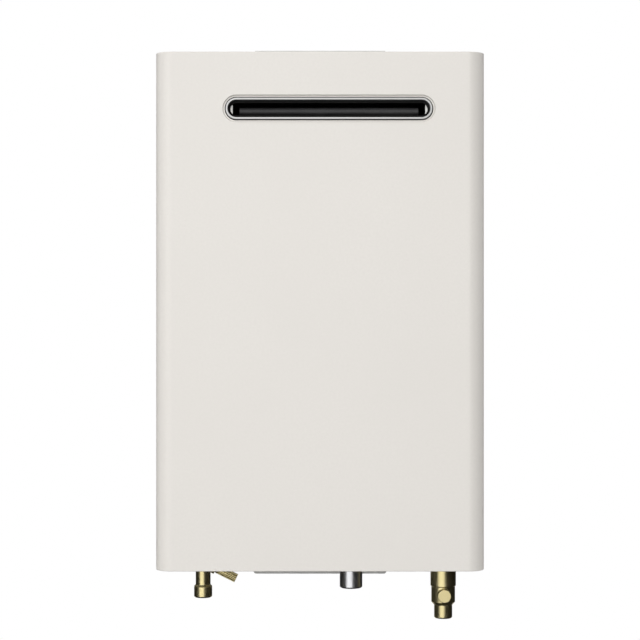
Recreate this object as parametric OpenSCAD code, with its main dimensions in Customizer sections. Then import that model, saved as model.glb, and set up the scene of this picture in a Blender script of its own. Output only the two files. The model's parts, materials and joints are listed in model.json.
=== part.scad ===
// Wall-hung propane tankless water heater as separate pieces: cabinet, flue, heat exchanger,
// burner, fan, water path, gas path and controls.
// +Z is up, the front faces -Y, the wall is the plane y = 0, and the origin is the centre of
// the four wall bolts.

/* [Cabinet] */
// Width of the front cover
body_w = 375; // [366:1:400]
// Height of the front cover
body_h = 590; // [575:1:640]
// Depth of the front cover, from its rear edge to its front face
body_d = 168; // [162:1:185]
// Outer radius of the cover's upright front edges
edge_r = 19; // [10:0.5:24]
// Thickness of the sheet steel
sheet_t = 1.2; // [0.8:0.1:1.6]
// Gap between the cover and the rear case inside it
cover_gap = 0.6; // [0.4:0.1:0.9]
// Depth of the cover's top and bottom flanges
flange_d = 40; // [34:1:50]
// Depth of the rear case's side flanges
case_side_d = 60; // [40:1:90]
// Distance of the cover screws from the body's middle
cover_screw_x = 150; // [100:1:160]
// Distance of the cover screws behind the front face
cover_screw_y = 25; // [22:1:28]
// Shank diameter of the cover screws
cover_screw_d = 4; // [3:0.5:5]
// Head height of the cover screws
cover_screw_head_h = 2.2; // [1.5:0.1:3]
// Threaded length of the cover screws below the head
cover_screw_len = 10; // [8:0.5:14]

/* [Wall brackets] */
// Width of each bracket
bracket_w = 164; // [150:1:200]
// How far a bracket reaches past the cabinet
bracket_reach = 28; // [24:1:40]
// How far the wall plate runs behind the cabinet
bracket_lap = 20; // [14:1:30]
// Height of the foot riveted to the case
bracket_foot = 40; // [30:1:60]
// Thickness of the bracket plate
bracket_t = 2; // [1.5:0.1:3]
// Size of the cut corners
bracket_corner = 2; // [1:0.5:10]
// Distance between the wall and the case
standoff = 12; // [10:1:20]
// Distance between the two bolts of one bracket
bolt_span = 120; // [100:1:126]
// Diameter of the bolt holes
bolt_d = 8; // [6:0.5:10]
// Distance between the rivets of one bracket
rivet_span = 110; // [80:1:130]
// Shank diameter of the rivets
rivet_d = 4.8; // [3.2:0.1:6]

/* [Flue outlet] */
// Offset of the outlet from the body's middle
vent_x = 10.2; // [4:0.2:14]
// Distance of the outlet's middle below the top
vent_drop = 64.5; // [60:0.5:70]
// Length of the clear opening
vent_len = 230; // [215:1:236]
// Height of the clear opening
vent_h = 19.6; // [18:0.2:24]
// Width of the bezel's flat rim
bezel_rim = 2.4; // [2:0.1:4]
// Rounding of the rim's front edges
bezel_round = 0.5; // [0.3:0.1:0.9]
// Dark gap between the bezel's rim and the pressing
bezel_gap = 1.1; // [0.4:0.1:1.2]
// How far the rim stands out of the front face
bezel_proud = 0.5; // [0.2:0.1:1]
// Width of the pressing round the bezel's rim
emboss_rim = 3.5; // [3:0.1:5]
// Width of the pressing's sloped side
emboss_slope = 1.1; // [0.6:0.1:1.6]
// Depth of the pressing
emboss_depth = 2; // [1.5:0.1:3]
// Depth of the bezel's collar behind the pressing
collar_d = 5; // [4:0.5:8]
// Wall of the bezel's collar
collar_t = 0.8; // [0.6:0.1:1.2]
// Thickness of the flue gasket
gasket_t = 3; // [2:0.5:5]
// How far the flue gasket shows inside the opening
gasket_lip = 2.6; // [1.5:0.1:3]
// Width of the opening in the duct's mouth plate
flue_w = 219.6; // [210:0.2:226]
// Length of the deflector bar
bar_len = 204; // [190:1:208]
// Height of the deflector bar
bar_h = 8.4; // [7:0.2:9.6]
// Depth of the deflector bar
bar_d = 12; // [9.8:0.1:16]
// Height of the bar above the opening's lower edge
bar_lift = 3.6; // [1.5:0.1:4]

/* [Burner and heat exchanger] */
// Width of the burner box and heat exchanger
stack_w = 216; // [200:1:222]
// Depth of the burner box and heat exchanger
stack_d = 110; // [100:1:116]
// Wall of the hot sheet parts
hot_t = 1.2; // [0.8:0.1:1.6]
// How far the exhaust hood reaches past the heat exchanger and the duct
hood_margin = 7; // [4:0.5:12]
// Height of the exhaust hood as a share of the cabinet's height
hood_share = 0.115; // [0.09:0.005:0.13]
// Height of the heat exchanger as a share of the cabinet's height
exch_share = 0.17; // [0.15:0.005:0.19]
// Height of the burner box as a share of the cabinet's height
burn_share = 0.16; // [0.15:0.005:0.175]
// Radius of the heat exchanger's tubes
tube_r = 6; // [5:0.5:7]
// Distance of the outer tubes from the heat exchanger's lower and upper edges
tube_first = 14; // [10:1:16]
// Number of fins
fin_count = 22; // [10:1:28]
// Thickness of a fin
fin_t = 0.8; // [0.5:0.1:1.2]
// Number of burner bars and of gas nozzles
burner_count = 10; // [6:1:10]
// Room left beside the row of burner bars
burner_side = 8; // [6:0.5:20]
// Width of a burner bar
burner_bar_w = 9; // [6:0.5:12]
// Height of a burner bar
burner_bar_h = 52; // [40:1:56]
// Side of the square gas manifold
manifold_s = 16; // [14:0.5:18]
// Radius of a gas nozzle
nozzle_r = 4; // [3:0.5:5]
// Radius of the ceramic of an electrode
ceramic_r = 4; // [3:0.5:5]

/* [Fan] */
// Offset of the fan's axis from the body's middle
fan_x = -20; // [-30:1:-14]
// Outer radius of the fan housing
fan_r = 62; // [58:1:68]
// Depth of the fan housing
fan_d = 60; // [56:1:70]
// Wall of the fan housing
fan_t = 2; // [1.5:0.1:2.5]
// Height of the outlet neck above the round housing
fan_neck = 14; // [8:1:20]
// Width of the outlet neck
fan_neck_w = 46; // [40:1:52]
// Outer radius of the impeller
impeller_r = 46; // [40:1:50]
// Length of the impeller's blades
impeller_w = 36; // [28:1:40]
// Number of blades
blade_count = 24; // [12:1:32]
// Radius of the motor shaft
shaft_r = 3; // [2.5:0.5:4]
// Radius of the motor
motor_r = 28; // [22:1:32]
// Length of the motor
motor_len = 32; // [24:1:36]

/* [Water path] */
// Distance of all pipe fittings behind the front face
fitting_y = 90; // [86:1:94]
// Outer radius of the water pipes
pipe_r = 7.5; // [6:0.5:8]
// Wall of the water pipes
pipe_t = 1; // [0.7:0.1:1.5]
// Bend radius of the water pipes
pipe_bend = 16; // [14:0.5:18]
// Distance of the hot outlet from the heat exchanger's side
hot_side = 30.5; // [30:0.5:38]
// Outer radius of the hot outlet's tube
hot_tube_r = 8.75; // [8.5:0.05:9.5]
// Outer radius of the hot outlet's threaded end
hot_end_r = 10.67; // [10.2:0.01:11.5]
// Radius of the waterway in the hot outlet
hot_bore_r = 6.5; // [5:0.1:7]
// Depth of the hot outlet's step below the cabinet
hot_step = 27.8; // [26:0.1:34]
// Depth of the hot outlet's end below the cabinet
hot_end = 43; // [42:0.5:50]
// Tilt of the drain branch below level
branch_tilt = 26.6; // [24:0.2:30]
// Outer radius of the drain branch
branch_r = 5.2; // [4.6:0.1:5.4]
// Outer radius of the collar at the branch's end
branch_collar_r = 7.4; // [6:0.1:8]
// Length of the collar at the branch's end
branch_collar_len = 4.5; // [3:0.5:5]
// Length of the drain branch from the pipe's axis
branch_len = 17.5; // [15:0.5:18]
// Radius of the fluted drain plug
hot_plug_r = 5.3; // [4.4:0.1:5.4]
// Distance of the drain plug's end from the pipe's axis
hot_plug_end = 43.8; // [38:0.2:46]
// Radius of the drain plug's threaded shank
hot_shank_r = 3; // [2.4:0.1:3.4]
// Number of flutes on the drain plug
flute_count = 10; // [8:1:14]
// Distance of the cold inlet from the heat exchanger's side
cold_side = 38; // [37:0.5:42]
// Radius of the cold inlet's upper part
cold_upper_r = 15; // [14.2:0.1:16]
// Radius of the cold inlet's middle part
cold_middle_r = 14; // [13.2:0.1:14.6]
// Radius of the cold inlet's threaded end
cold_end_r = 10.67; // [10.2:0.01:11.5]
// Radius of the waterway in the cold inlet
cold_bore_r = 7.5; // [6:0.1:8]
// Depth of the cold inlet's first step below the cabinet
cold_step_upper = 29.7; // [24:0.1:31]
// Depth of the cold inlet's second step below the cabinet
cold_step_middle = 48.2; // [46:0.1:50]
// Depth where the cold inlet's threaded end begins
cold_step_lower = 51.5; // [51:0.1:54]
// Depth of the cold inlet's end below the cabinet
cold_end = 67.6; // [66:0.1:76]
// Depth of the round front plug's axis below the cabinet
cold_plug_drop = 38.4; // [36:0.1:39]
// Radius of the round front plug
cold_plug_r = 8; // [7.2:0.05:8.6]
// Distance of the front plug's face from the pipe's axis
cold_plug_face = 26; // [24.5:0.1:28]
// Radius of the front plug's threaded shank
cold_shank_r = 5; // [4.6:0.1:5.4]
// Thickness of the plug seals
seal_t = 1; // [0.8:0.1:1.4]
// Outer radius of the flow sensor
sensor_r = 17; // [15:0.5:19]
// Length of the flow sensor
sensor_len = 70; // [64:1:80]
// Radius of the flow turbine
turbine_r = 7.6; // [6.6:0.1:7.8]

/* [Gas path] */
// Offset of the gas nipple
gas_x = 36.8; // [34:0.2:40]
// Outer radius of the gas nipple
gas_r = 13.335; // [13:0.005:14]
// Radius of the gas nipple's bore
gas_bore_r = 10.5; // [8:0.1:11]
// Radius of the gas nipple's collar under the case
gas_collar_r = 17; // [15:0.5:19]
// Depth of the collar's lower face below the cabinet
gas_collar_drop = 8; // [4:0.5:10]
// Depth of the gas nipple's end below the cabinet
gas_end = 31.7; // [28:0.1:40]
// Width of the gas valve
valve_w = 46; // [42:1:48]
// Depth of the gas valve
valve_d = 50; // [44:1:54]
// Height of the gas valve
valve_h = 64; // [56:1:70]
// Radius of the solenoid coil
coil_r = 15; // [12:0.5:18]
// Height of the solenoid coil
coil_h = 34; // [30:1:40]
// Radius of the plunger
plunger_r = 5; // [4:0.5:6]
// Lift of the plunger
plunger_lift = 3; // [2:0.5:4]
// Outer radius of the gas pipe
gas_pipe_r = 8; // [7:0.5:9]
// Wall of the gas pipe
gas_pipe_t = 1; // [0.7:0.1:1.5]
// Bend radius of the gas pipe
gas_pipe_bend = 18; // [16:0.5:20]

/* [Controls] */
// Offset of the control box's middle
ctrl_x = -56; // [-58:1:-54]
// Width of the control box
ctrl_w = 120; // [110:1:122]
// Depth of the control box
ctrl_d = 90; // [70:1:96]
// Height of the control box as a share of the cabinet's height
ctrl_share = 0.17; // [0.14:0.005:0.19]
// Wall of the control box
ctrl_t = 2.5; // [2:0.1:3]
// Thickness of the circuit board
board_t = 1.6; // [1:0.1:2]
// Height of the board's standoffs
standoff_h = 8; // [5:0.5:12]
// Radius of the wiring loom
loom_r = 3; // [2:0.5:4]
// Radius of the cable hole in the grommet
cable_r = 5; // [4:0.5:6]
// Width of the air intake grille
grille_w = 44; // [40:1:46]
// Depth of the air intake grille
grille_d = 100; // [80:1:110]
// Number of slots in the grille
slot_count = 10; // [6:1:11]

/* [Hidden] */
$fn = 64;
// Overshoot of cutting shapes
cut = 1;
// Radial clearance of a turning or sliding shaft
run_fit = 0.05;
// Radial clearance of a fixed piece in its hole
seat_fit = 0.1;
// Gap left where a moving piece meets its seat
rest_gap = 0.1;
// Gap between the flue gasket and the removable bezel
seal_gap = 0.3;

// Cabinet planes
y_back = -standoff;
y_front = y_back - body_d;
y_panel = y_back - sheet_t;
z_top = body_h / 2;
z_bottom = -z_top;
case_inset = sheet_t + cover_gap;
case_w = body_w - 2 * case_inset;
case_h = body_h - 2 * case_inset;
z_floor = -case_h / 2 + sheet_t;
z_under = -case_h / 2;
y_pipe = y_front + fitting_y;

// Flue planes
vent_z = z_top - vent_drop;
y_seat = y_front + emboss_depth;
y_collar = y_seat + collar_d;
y_mouth = y_collar + seal_gap + gasket_t;
duct_margin = 2;
duct_len = vent_len + 2 * duct_margin;
duct_h = vent_h + 2 * duct_margin;

// Burner and heat exchanger planes
hood_h = hood_share * body_h;
exch_h = exch_share * body_h;
burn_h = burn_share * body_h;
stack_x = [-stack_w / 2, stack_w / 2];
stack_y = [y_pipe - stack_d / 2, y_pipe + stack_d / 2];
hood_x = [min(stack_x[0], vent_x - duct_len / 2) - hood_margin,
    max(stack_x[1], vent_x + duct_len / 2) + hood_margin];
hood_z = [vent_z - hood_h / 2, vent_z + hood_h / 2];
exch_z = [hood_z[0] - exch_h, hood_z[0]];
burn_z = [exch_z[0] - burn_h, exch_z[0]];
tube_count = 5;
tube_pitch = (exch_h - 2 * tube_first) / (tube_count - 1);
tube_stub = 3;
port_len = 8;
function tube_z(i) = exch_z[0] + tube_first + i * tube_pitch;
burner_pitch = (stack_w - 2 * burner_side) / burner_count;
nozzle_rise = 18;
nozzle_z = burn_z[0] + nozzle_rise;
nozzle_reach = 6;
manifold_gap = 4;
manifold_y = [stack_y[0] - manifold_gap - manifold_s, stack_y[0] - manifold_gap];
manifold_mid_y = (manifold_y[0] + manifold_y[1]) / 2;
manifold_z = [nozzle_z - manifold_s / 2, nozzle_z + manifold_s / 2];
electrode_rise = 12;
electrode_z = burn_z[0] + hot_t + burner_bar_h + electrode_rise;
igniter_x = [-50, -26];
flame_rod_x = 30;

// Fan planes
fan_z = burn_z[0] - fan_neck - fan_r;
fan_y = [y_pipe - fan_d / 2, y_pipe + fan_d / 2];
fan_neck_x = [fan_x + fan_r - fan_neck_w, fan_x + fan_r];
fan_flange = 6;
impeller_disc_t = 2;
impeller_ring = 10;
impeller_back_gap = 4;
blade_inset = 1;
impeller_y = fan_y[0] + fan_t + impeller_back_gap;
blade_t = 1.2;
motor_y = [fan_y[0] - motor_len, fan_y[0]];
shaft_inset = 5;
hub_r = 9;
hub_len = 16;
plug_block = [16, 14, 8];

// Water path planes
hot_x = stack_x[0] - hot_side;
cold_x = stack_x[1] + cold_side;
fitting_flange_t = 4;
cold_flange_r = 22;
z_fitting = z_floor + fitting_flange_t;
branch_drop = 1.1;
branch_z = z_bottom - branch_drop;
shank_len = 8;
spigot_h = 12;
spigot_wall = 2;
sensor_z = [z_fitting, z_fitting + sensor_len];
socket_h = 14;
spider_t = 2;
spider_hub_r = 3;
axle_r = 1;
turbine_len = 18;
turbine_rise = 14;
turbine_z = z_fitting + spigot_h + turbine_rise;
strainer_r = 4.2;
strainer_wall = 0.8;
strainer_gap = 0.5;
cold_plug_z = z_bottom - cold_plug_drop;
cold_head_t = 5.4;
cold_boss_end = cold_plug_face - cold_head_t - seal_t - 2 * rest_gap;
clip_z = (sensor_z[1] + tube_z(0)) / 2;

// Gas path planes
neck_wall = 2;
gas_neck_r = gas_bore_r + neck_wall;
valve_z = [z_fitting, z_fitting + valve_h];
chamber_r = 9;
chamber_h = 22;
gas_out_rise = 20;
gas_out_z = valve_z[0] + gas_out_rise;
coil_cap = 4;
plunger_disc_t = 3;
spring_wall = 1;
spring_min = 6;
spring_len = plunger_lift + spring_min;
plunger_z = [valve_z[1] - chamber_h + rest_gap, valve_z[1] + coil_h - coil_cap - spring_len];

// Control planes
ctrl_front_gap = 12;
ctrl_h = ctrl_share * body_h;
ctrl_xs = [ctrl_x - ctrl_w / 2, ctrl_x + ctrl_w / 2];
ctrl_ys = shift(y_front + case_inset + ctrl_front_gap, [0, ctrl_d]);
ctrl_zs = [z_floor, z_floor + ctrl_h];
board_margin = 6;
board_xs = [ctrl_xs[0] + ctrl_t + board_margin, ctrl_xs[1] - ctrl_t - board_margin];
board_zs = [ctrl_zs[0] + ctrl_t + 2 * board_margin, ctrl_zs[1] - ctrl_t - board_margin];
board_y = ctrl_ys[1] - ctrl_t - standoff_h - board_t;
board_hole_inset = 5;
grommet_back = 10;
grommet_y = (ctrl_ys[0] + ctrl_ys[1]) / 2 + grommet_back;
grommet_wall = 3;
grommet_lip = 3;
grille_gap = 4;
grille_x = cold_x - cold_flange_r - grille_gap - grille_w / 2;
grille_ys = [y_pipe - grille_d / 2, y_pipe + grille_d / 2];

// A range moved by a base value, and a range of a size round a middle value
function shift(base, range) = [base + range[0], base + range[1]];
function span(middle, size) = [middle - size / 2, middle + size / 2];

// A box from three ranges
module block(x, y, z) {
    translate([x[0], y[0], z[0]]) cube([x[1] - x[0], y[1] - y[0], z[1] - z[0]]);
}

// Rods along each axis, from a range and a radius
module rod_x(x, r) { translate([x[0], 0, 0]) rotate([0, 90, 0]) cylinder(h = x[1] - x[0], r = r); }
module rod_y(y, r) { translate([0, y[0], 0]) rotate([-90, 0, 0]) cylinder(h = y[1] - y[0], r = r); }
module rod_z(z, r) { translate([0, 0, z[0]]) cylinder(h = z[1] - z[0], r = r); }

// Prisms along each axis of an outline in the other two
module along_x(x) { translate([x[0], 0, 0]) rotate([90, 0, 90]) linear_extrude(x[1] - x[0]) children(); }
module along_y(y) { translate([0, y[1], 0]) rotate([90, 0, 0]) linear_extrude(y[1] - y[0]) children(); }
module along_z(z) { translate([0, 0, z[0]]) linear_extrude(z[1] - z[0]) children(); }

// Outline of a ring
module ring(outer, inner) {
    difference() {
        circle(r = outer);
        circle(r = inner);
    }
}

// Plan of the cabinet: square at the rear, round at the two front corners
module plan(w, y, r) {
    translate([-w / 2 + r, y[0]]) square([w - 2 * r, y[1] - y[0]]);
    translate([-w / 2, y[0] + r]) square([w, y[1] - y[0] - r]);
    for (side = [-1, 1]) translate([side * (w / 2 - r), y[0] + r]) circle(r = r);
}

// Stadium prism at the flue outlet
module slot(len, h, y) {
    translate([vent_x, 0, vent_z]) along_y(y) {
        square([len - h, h], center = true);
        for (side = [-1, 1]) translate([side * (len - h) / 2, 0]) circle(d = h);
    }
}

// Stadium prism at the flue outlet that narrows by inset from front to rear
module slot_taper(len, h, inset, y) {
    half = (len - h) / 2;
    translate([vent_x, 0, vent_z]) {
        for (side = [-1, 1]) translate([side * half, y[0], 0]) rotate([-90, 0, 0])
            cylinder(h = y[1] - y[0], r1 = h / 2, r2 = h / 2 - inset);
        along_x([-half, half])
            polygon([[y[0], -h / 2], [y[0], h / 2], [y[1], h / 2 - inset], [y[1], inset - h / 2]]);
    }
}

// A profile carried round the flue opening: x outwards from the opening's edge, y towards the wall
module slot_sweep() {
    half = (vent_len - vent_h) / 2;
    translate([vent_x, 0, vent_z]) {
        for (turn = [0, 180]) rotate([0, turn, 0]) translate([half, 0, 0]) rotate([-90, -90, 0])
            rotate_extrude(angle = 180) translate([vent_h / 2, 0]) children();
        for (turn = [0, 180]) rotate([0, turn, 0]) along_x([-half, half])
            translate([0, vent_h / 2]) mirror([1, -1]) children();
    }
}

// A pipe that rises to the origin, bends to -X and runs on
module bent_pipe(bend, r, t, rise, run) {
    mirror([0, 0, 1]) linear_extrude(rise) ring(r, r - t);
    translate([-bend, 0, 0]) rotate([90, 0, 0]) rotate_extrude(angle = 90)
        translate([bend, 0]) ring(r, r - t);
    translate([-bend, 0, bend]) rotate([0, -90, 0]) linear_extrude(run) ring(r, r - t);
}

// Places
module at_hot() { translate([hot_x, y_pipe, 0]) children(); }
module at_cold() { translate([cold_x, y_pipe, 0]) children(); }
module at_gas() { translate([gas_x, y_pipe, 0]) children(); }
module at_fan() { translate([fan_x, 0, fan_z]) children(); }
module at_branch() { translate([hot_x, y_pipe, branch_z]) rotate([0, 90 + branch_tilt, 0]) children(); }
module at_cold_plug() { translate([cold_x, y_pipe, cold_plug_z]) rotate([90, 0, 0]) children(); }
module at_cover_screws() {
    for (end = [0, 1], side = [-1, 1]) mirror([0, 0, end])
        translate([side * cover_screw_x, y_front + cover_screw_y, z_top]) children();
}
module at_rivets() {
    for (end = [0, 1], side = [-1, 1], row = [0.25, 0.75]) mirror([0, 0, end])
        translate([side * rivet_span / 2, y_back, z_top - bracket_lap - row * bracket_foot]) children();
}
module at_nozzles() {
    for (i = [0 : burner_count - 1])
        translate([(i - (burner_count - 1) / 2) * burner_pitch, 0, nozzle_z]) children();
}
module at_board_holes() {
    for (x = board_xs + [board_hole_inset, -board_hole_inset],
         z = board_zs + [board_hole_inset, -board_hole_inset]) translate([x, 0, z]) children();
}

// Cabinet
case_hole_gap = 0.3;
module rear_case() {
    plate = [y_front + case_inset, y_back];
    color("lightgray") difference() {
        union() {
            block([-case_w / 2, case_w / 2], [y_panel, y_back], [-case_h / 2, case_h / 2]);
            for (z = [-case_h / 2, case_h / 2 - sheet_t])
                along_z([z, z + sheet_t]) plan(case_w, plate, edge_r - case_inset);
            for (side = [0, 1]) mirror([side, 0, 0])
                block([case_w / 2 - sheet_t, case_w / 2], [y_back - case_side_d, y_back],
                    [-case_h / 2, case_h / 2]);
        }
        at_hot() rod_z([z_under - cut, z_floor + cut], hot_tube_r + case_hole_gap);
        at_cold() rod_z([z_under - cut, z_floor + cut], cold_upper_r + case_hole_gap);
        at_gas() rod_z([z_under - cut, z_floor + cut], gas_neck_r + case_hole_gap);
        translate([ctrl_x, grommet_y, 0])
            rod_z([z_under - cut, z_floor + cut], cable_r + grommet_wall + seat_fit);
        block([grille_x - grille_w / 2 + grille_lap, grille_x + grille_w / 2 - grille_lap],
            [grille_ys[0] + grille_lap, grille_ys[1] - grille_lap], [z_under - cut, z_floor + cut]);
        at_cover_screws() rod_z([-2 * case_inset - cut, 0], cover_screw_d / 2 + run_fit);
        at_rivets() rod_y([-sheet_t - cut, cut], rivet_d / 2 + run_fit);
    }
}

slot_gap = 0.3;
module front_cover() {
    inner = body_w - 2 * sheet_t;
    rim = bezel_rim + emboss_rim;
    hole = bezel_rim + bezel_gap;
    color("linen") difference() {
        union() {
            difference() {
                along_z([z_bottom, z_top]) plan(body_w, [y_front, y_back], edge_r);
                along_z([z_bottom + sheet_t, z_top - sheet_t])
                    plan(inner, [y_front + sheet_t, y_back + cut], edge_r - sheet_t);
            }
            slot(vent_len + 2 * rim + 2 * sheet_t, vent_h + 2 * rim + 2 * sheet_t,
                [y_front + sheet_t / 2, y_seat + sheet_t]);
        }
        block([-inner / 2, inner / 2], [y_front + flange_d, y_back + cut], [z_bottom - cut, z_top + cut]);
        slot_taper(vent_len + 2 * rim, vent_h + 2 * rim, emboss_slope, [y_front, y_seat]);
        slot(vent_len + 2 * hole, vent_h + 2 * hole, [y_seat - cut, y_seat + sheet_t + cut]);
        at_cover_screws() {
            rod_z([-sheet_t - cut, cut], cover_screw_d / 2 + slot_gap);
            block([-1, 1] * (cover_screw_d / 2 + slot_gap), [0, flange_d], [-sheet_t - cut, cut]);
        }
    }
}

bezel_flange_t = 0.8;
bezel_flange_lap = 1.6;
module vent_bezel() {
    rim_y = y_front - bezel_proud;
    wall_y = rim_y + bezel_round;
    flange_y = y_seat + sheet_t;
    color("silver") slot_sweep() {
        for (side = [0, 1]) translate([side * (bezel_rim - bezel_round), rim_y]) intersection() {
            translate([(1 - side) * bezel_round, bezel_round]) circle(r = bezel_round);
            square(bezel_round);
        }
        translate([bezel_round, rim_y]) square([bezel_rim - 2 * bezel_round, bezel_round]);
        translate([0, wall_y]) square([bezel_rim, flange_y + bezel_flange_t - wall_y]);
        translate([0, flange_y]) square([bezel_rim + bezel_gap + bezel_flange_lap, bezel_flange_t]);
        translate([0, wall_y]) square([collar_t, y_collar - wall_y]);
    }
}

module flue_gasket() {
    color("dimgray") difference() {
        slot(duct_len + 2 * hot_t, duct_h + 2 * hot_t, [y_mouth - gasket_t, y_mouth]);
        slot(vent_len - 2 * gasket_lip, vent_h - 2 * gasket_lip, [y_mouth - gasket_t - cut, y_mouth + cut]);
    }
}

bar_post_w = 6;
bar_post_count = 3;
module exhaust_deflector() {
    nose = bar_h / 2;
    z = vent_z - vent_h / 2 + bar_lift + nose;
    floor_z = vent_z - duct_h / 2;
    color("dimgray") {
        translate([vent_x, y_mouth + nose, z]) {
            rod_x([-bar_len / 2, bar_len / 2], nose);
            block([-bar_len / 2, bar_len / 2], [0, bar_d - nose], [-nose, nose]);
        }
        for (i = [0 : bar_post_count - 1])
            translate([vent_x + (i - 1) * (bar_len - bar_post_w) / (bar_post_count - 1), 0, 0])
                block([-bar_post_w / 2, bar_post_w / 2], [y_mouth + nose, y_mouth + bar_d], [floor_z, z]);
    }
}

// Wall plate, web and foot of a bracket, for the upper end
module bracket() {
    plate_z = [z_top - bracket_lap, z_top + bracket_reach];
    half = bracket_w / 2;
    difference() {
        union() {
            along_y([-bracket_t, 0]) polygon([[-half, plate_z[0]], [half, plate_z[0]],
                [half, plate_z[1] - bracket_corner], [half - bracket_corner, plate_z[1]],
                [bracket_corner - half, plate_z[1]], [-half, plate_z[1] - bracket_corner]]);
            block([-half, half], [y_back, 0], [plate_z[0], plate_z[0] + bracket_t]);
            block([-half, half], [y_back, y_back + bracket_t],
                [plate_z[0] - bracket_foot, plate_z[0] + bracket_t]);
        }
        for (side = [-1, 1]) translate([side * bolt_span / 2, 0, z_top + bracket_reach / 2])
            rod_y([-bracket_t - cut, cut], bolt_d / 2);
        at_rivets() rod_y([-cut, bracket_t + cut], rivet_d / 2 + run_fit);
    }
}
module upper_bracket() { color("gray") bracket(); }
module lower_bracket() { color("gray") mirror([0, 0, 1]) bracket(); }

rivet_head_h = 1.4;
module bracket_rivets() {
    color("silver") at_rivets() {
        rod_y([-sheet_t, bracket_t], rivet_d / 2);
        rod_y([-sheet_t - rivet_head_h, -sheet_t], rivet_d);
        rod_y([bracket_t, bracket_t + rivet_head_h], rivet_d);
    }
}

module cover_screws() {
    color("silver") at_cover_screws() {
        rod_z([rest_gap - cover_screw_len, rest_gap], cover_screw_d / 2);
        difference() {
            rod_z([rest_gap, rest_gap + cover_screw_head_h], cover_screw_d);
            for (turn = [0, 90]) rotate([0, 0, turn])
                block([-1, 1] * cover_screw_d / 2, [-1, 1] * cover_screw_d / 8,
                    [rest_gap + cover_screw_head_h / 2, cover_screw_head_h + cut]);
        }
    }
}

grille_lap = 4;
grille_t = 1.5;
module intake_grille() {
    pitch = (grille_d - 2 * grille_lap) / slot_count;
    color("gray") difference() {
        block([grille_x - grille_w / 2, grille_x + grille_w / 2], grille_ys, [z_floor, z_floor + grille_t]);
        for (i = [0 : slot_count - 1])
            translate([grille_x, grille_ys[0] + grille_lap + (i + 0.5) * pitch, 0])
                block([-1, 1] * (grille_w / 2 - 2 * grille_lap), [-1, 1] * pitch / 4,
                    [z_floor - cut, z_floor + grille_t + cut]);
    }
}

module cable_grommet() {
    neck = cable_r + grommet_wall;
    color("black") translate([ctrl_x, grommet_y, 0]) difference() {
        union() {
            rod_z([z_under, z_floor + ctrl_t], neck);
            rod_z([z_under - grommet_lip, z_under], neck + grommet_lip);
            rod_z([z_floor + ctrl_t, z_floor + ctrl_t + grommet_lip], neck + grommet_lip);
        }
        rod_z([z_under - grommet_lip - cut, z_floor + ctrl_t + grommet_lip + cut], cable_r);
    }
}

// Burner and heat exchanger
module exhaust_hood() {
    color("silver") difference() {
        union() {
            block(hood_x, stack_y, hood_z);
            slot(duct_len + 2 * hot_t, duct_h + 2 * hot_t, [y_mouth, stack_y[0] + hot_t]);
        }
        block(hood_x + [hot_t, -hot_t], stack_y + [hot_t, -hot_t], hood_z + [hot_t, -hot_t]);
        block(stack_x + [hot_t, -hot_t], stack_y + [hot_t, -hot_t], hood_z + [-cut, -hood_h / 2]);
        slot(duct_len, duct_h, [y_mouth + hot_t, stack_y[0] + hot_t + cut]);
        intersection() {
            slot(duct_len, duct_h, [y_mouth - cut, y_mouth + hot_t + cut]);
            block(span(vent_x, flue_w), [y_mouth - cut, y_mouth + hot_t + cut], hood_z);
        }
    }
}

module heat_exchanger_shell() {
    color("peru") difference() {
        block(stack_x, stack_y, exch_z);
        block(stack_x + [hot_t, -hot_t], stack_y + [hot_t, -hot_t], exch_z + [-cut, cut]);
        for (i = [0 : tube_count - 1]) translate([0, y_pipe, tube_z(i)])
            rod_x(stack_x + [-cut, cut], tube_r + seat_fit);
    }
}

fin_edge = 6;
module heat_exchanger_fins() {
    row = stack_w - 4 * fin_edge;
    color("peru") for (i = [0 : fin_count - 1])
        translate([-row / 2 + i * row / (fin_count - 1), 0, 0]) along_x(span(0, fin_t)) difference() {
            translate([stack_y[0] + hot_t + seat_fit, exch_z[0] + fin_edge])
                square([stack_d - 2 * hot_t - 2 * seat_fit, exch_h - 2 * fin_edge]);
            for (k = [0 : tube_count - 1]) translate([y_pipe, tube_z(k)]) circle(r = tube_r + seat_fit);
        }
}

// Tubes from number i upwards, each joined to the next by a bend at alternate ends
module tube_row(i) {
    reach = stack_w / 2 + tube_stub;
    port = stack_w / 2 + port_len;
    rod_x([i == tube_count - 1 ? -port : -reach, i == 0 ? port : reach], tube_r);
    if (i < tube_count - 1) translate([0, 0, tube_pitch / 2]) {
        mirror([i % 2 == 0 ? 1 : 0, 0, 0]) translate([reach, 0, 0]) rotate([90, 0, 0]) rotate([0, 0, -90])
            rotate_extrude(angle = 180) translate([tube_pitch / 2, 0]) circle(r = tube_r);
        translate([0, 0, tube_pitch / 2]) tube_row(i + 1);
    }
}
module heat_exchanger_tubes() { color("chocolate") translate([0, y_pipe, tube_z(0)]) tube_row(0); }

switch_r = 9;
switch_h = 7;
terminal_t = 0.8;
terminal_w = 6;
module overheat_switch() {
    color("ivory") translate([stack_w / 4, stack_y[0], exch_z[1] - 3 * switch_r]) {
        rod_y([-switch_h, 0], switch_r);
        for (side = [-1, 1]) translate([side * switch_r / 2, 0, 0])
            block(span(0, terminal_t), [-2 * switch_h, -switch_h], span(0, terminal_w));
    }
}

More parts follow.
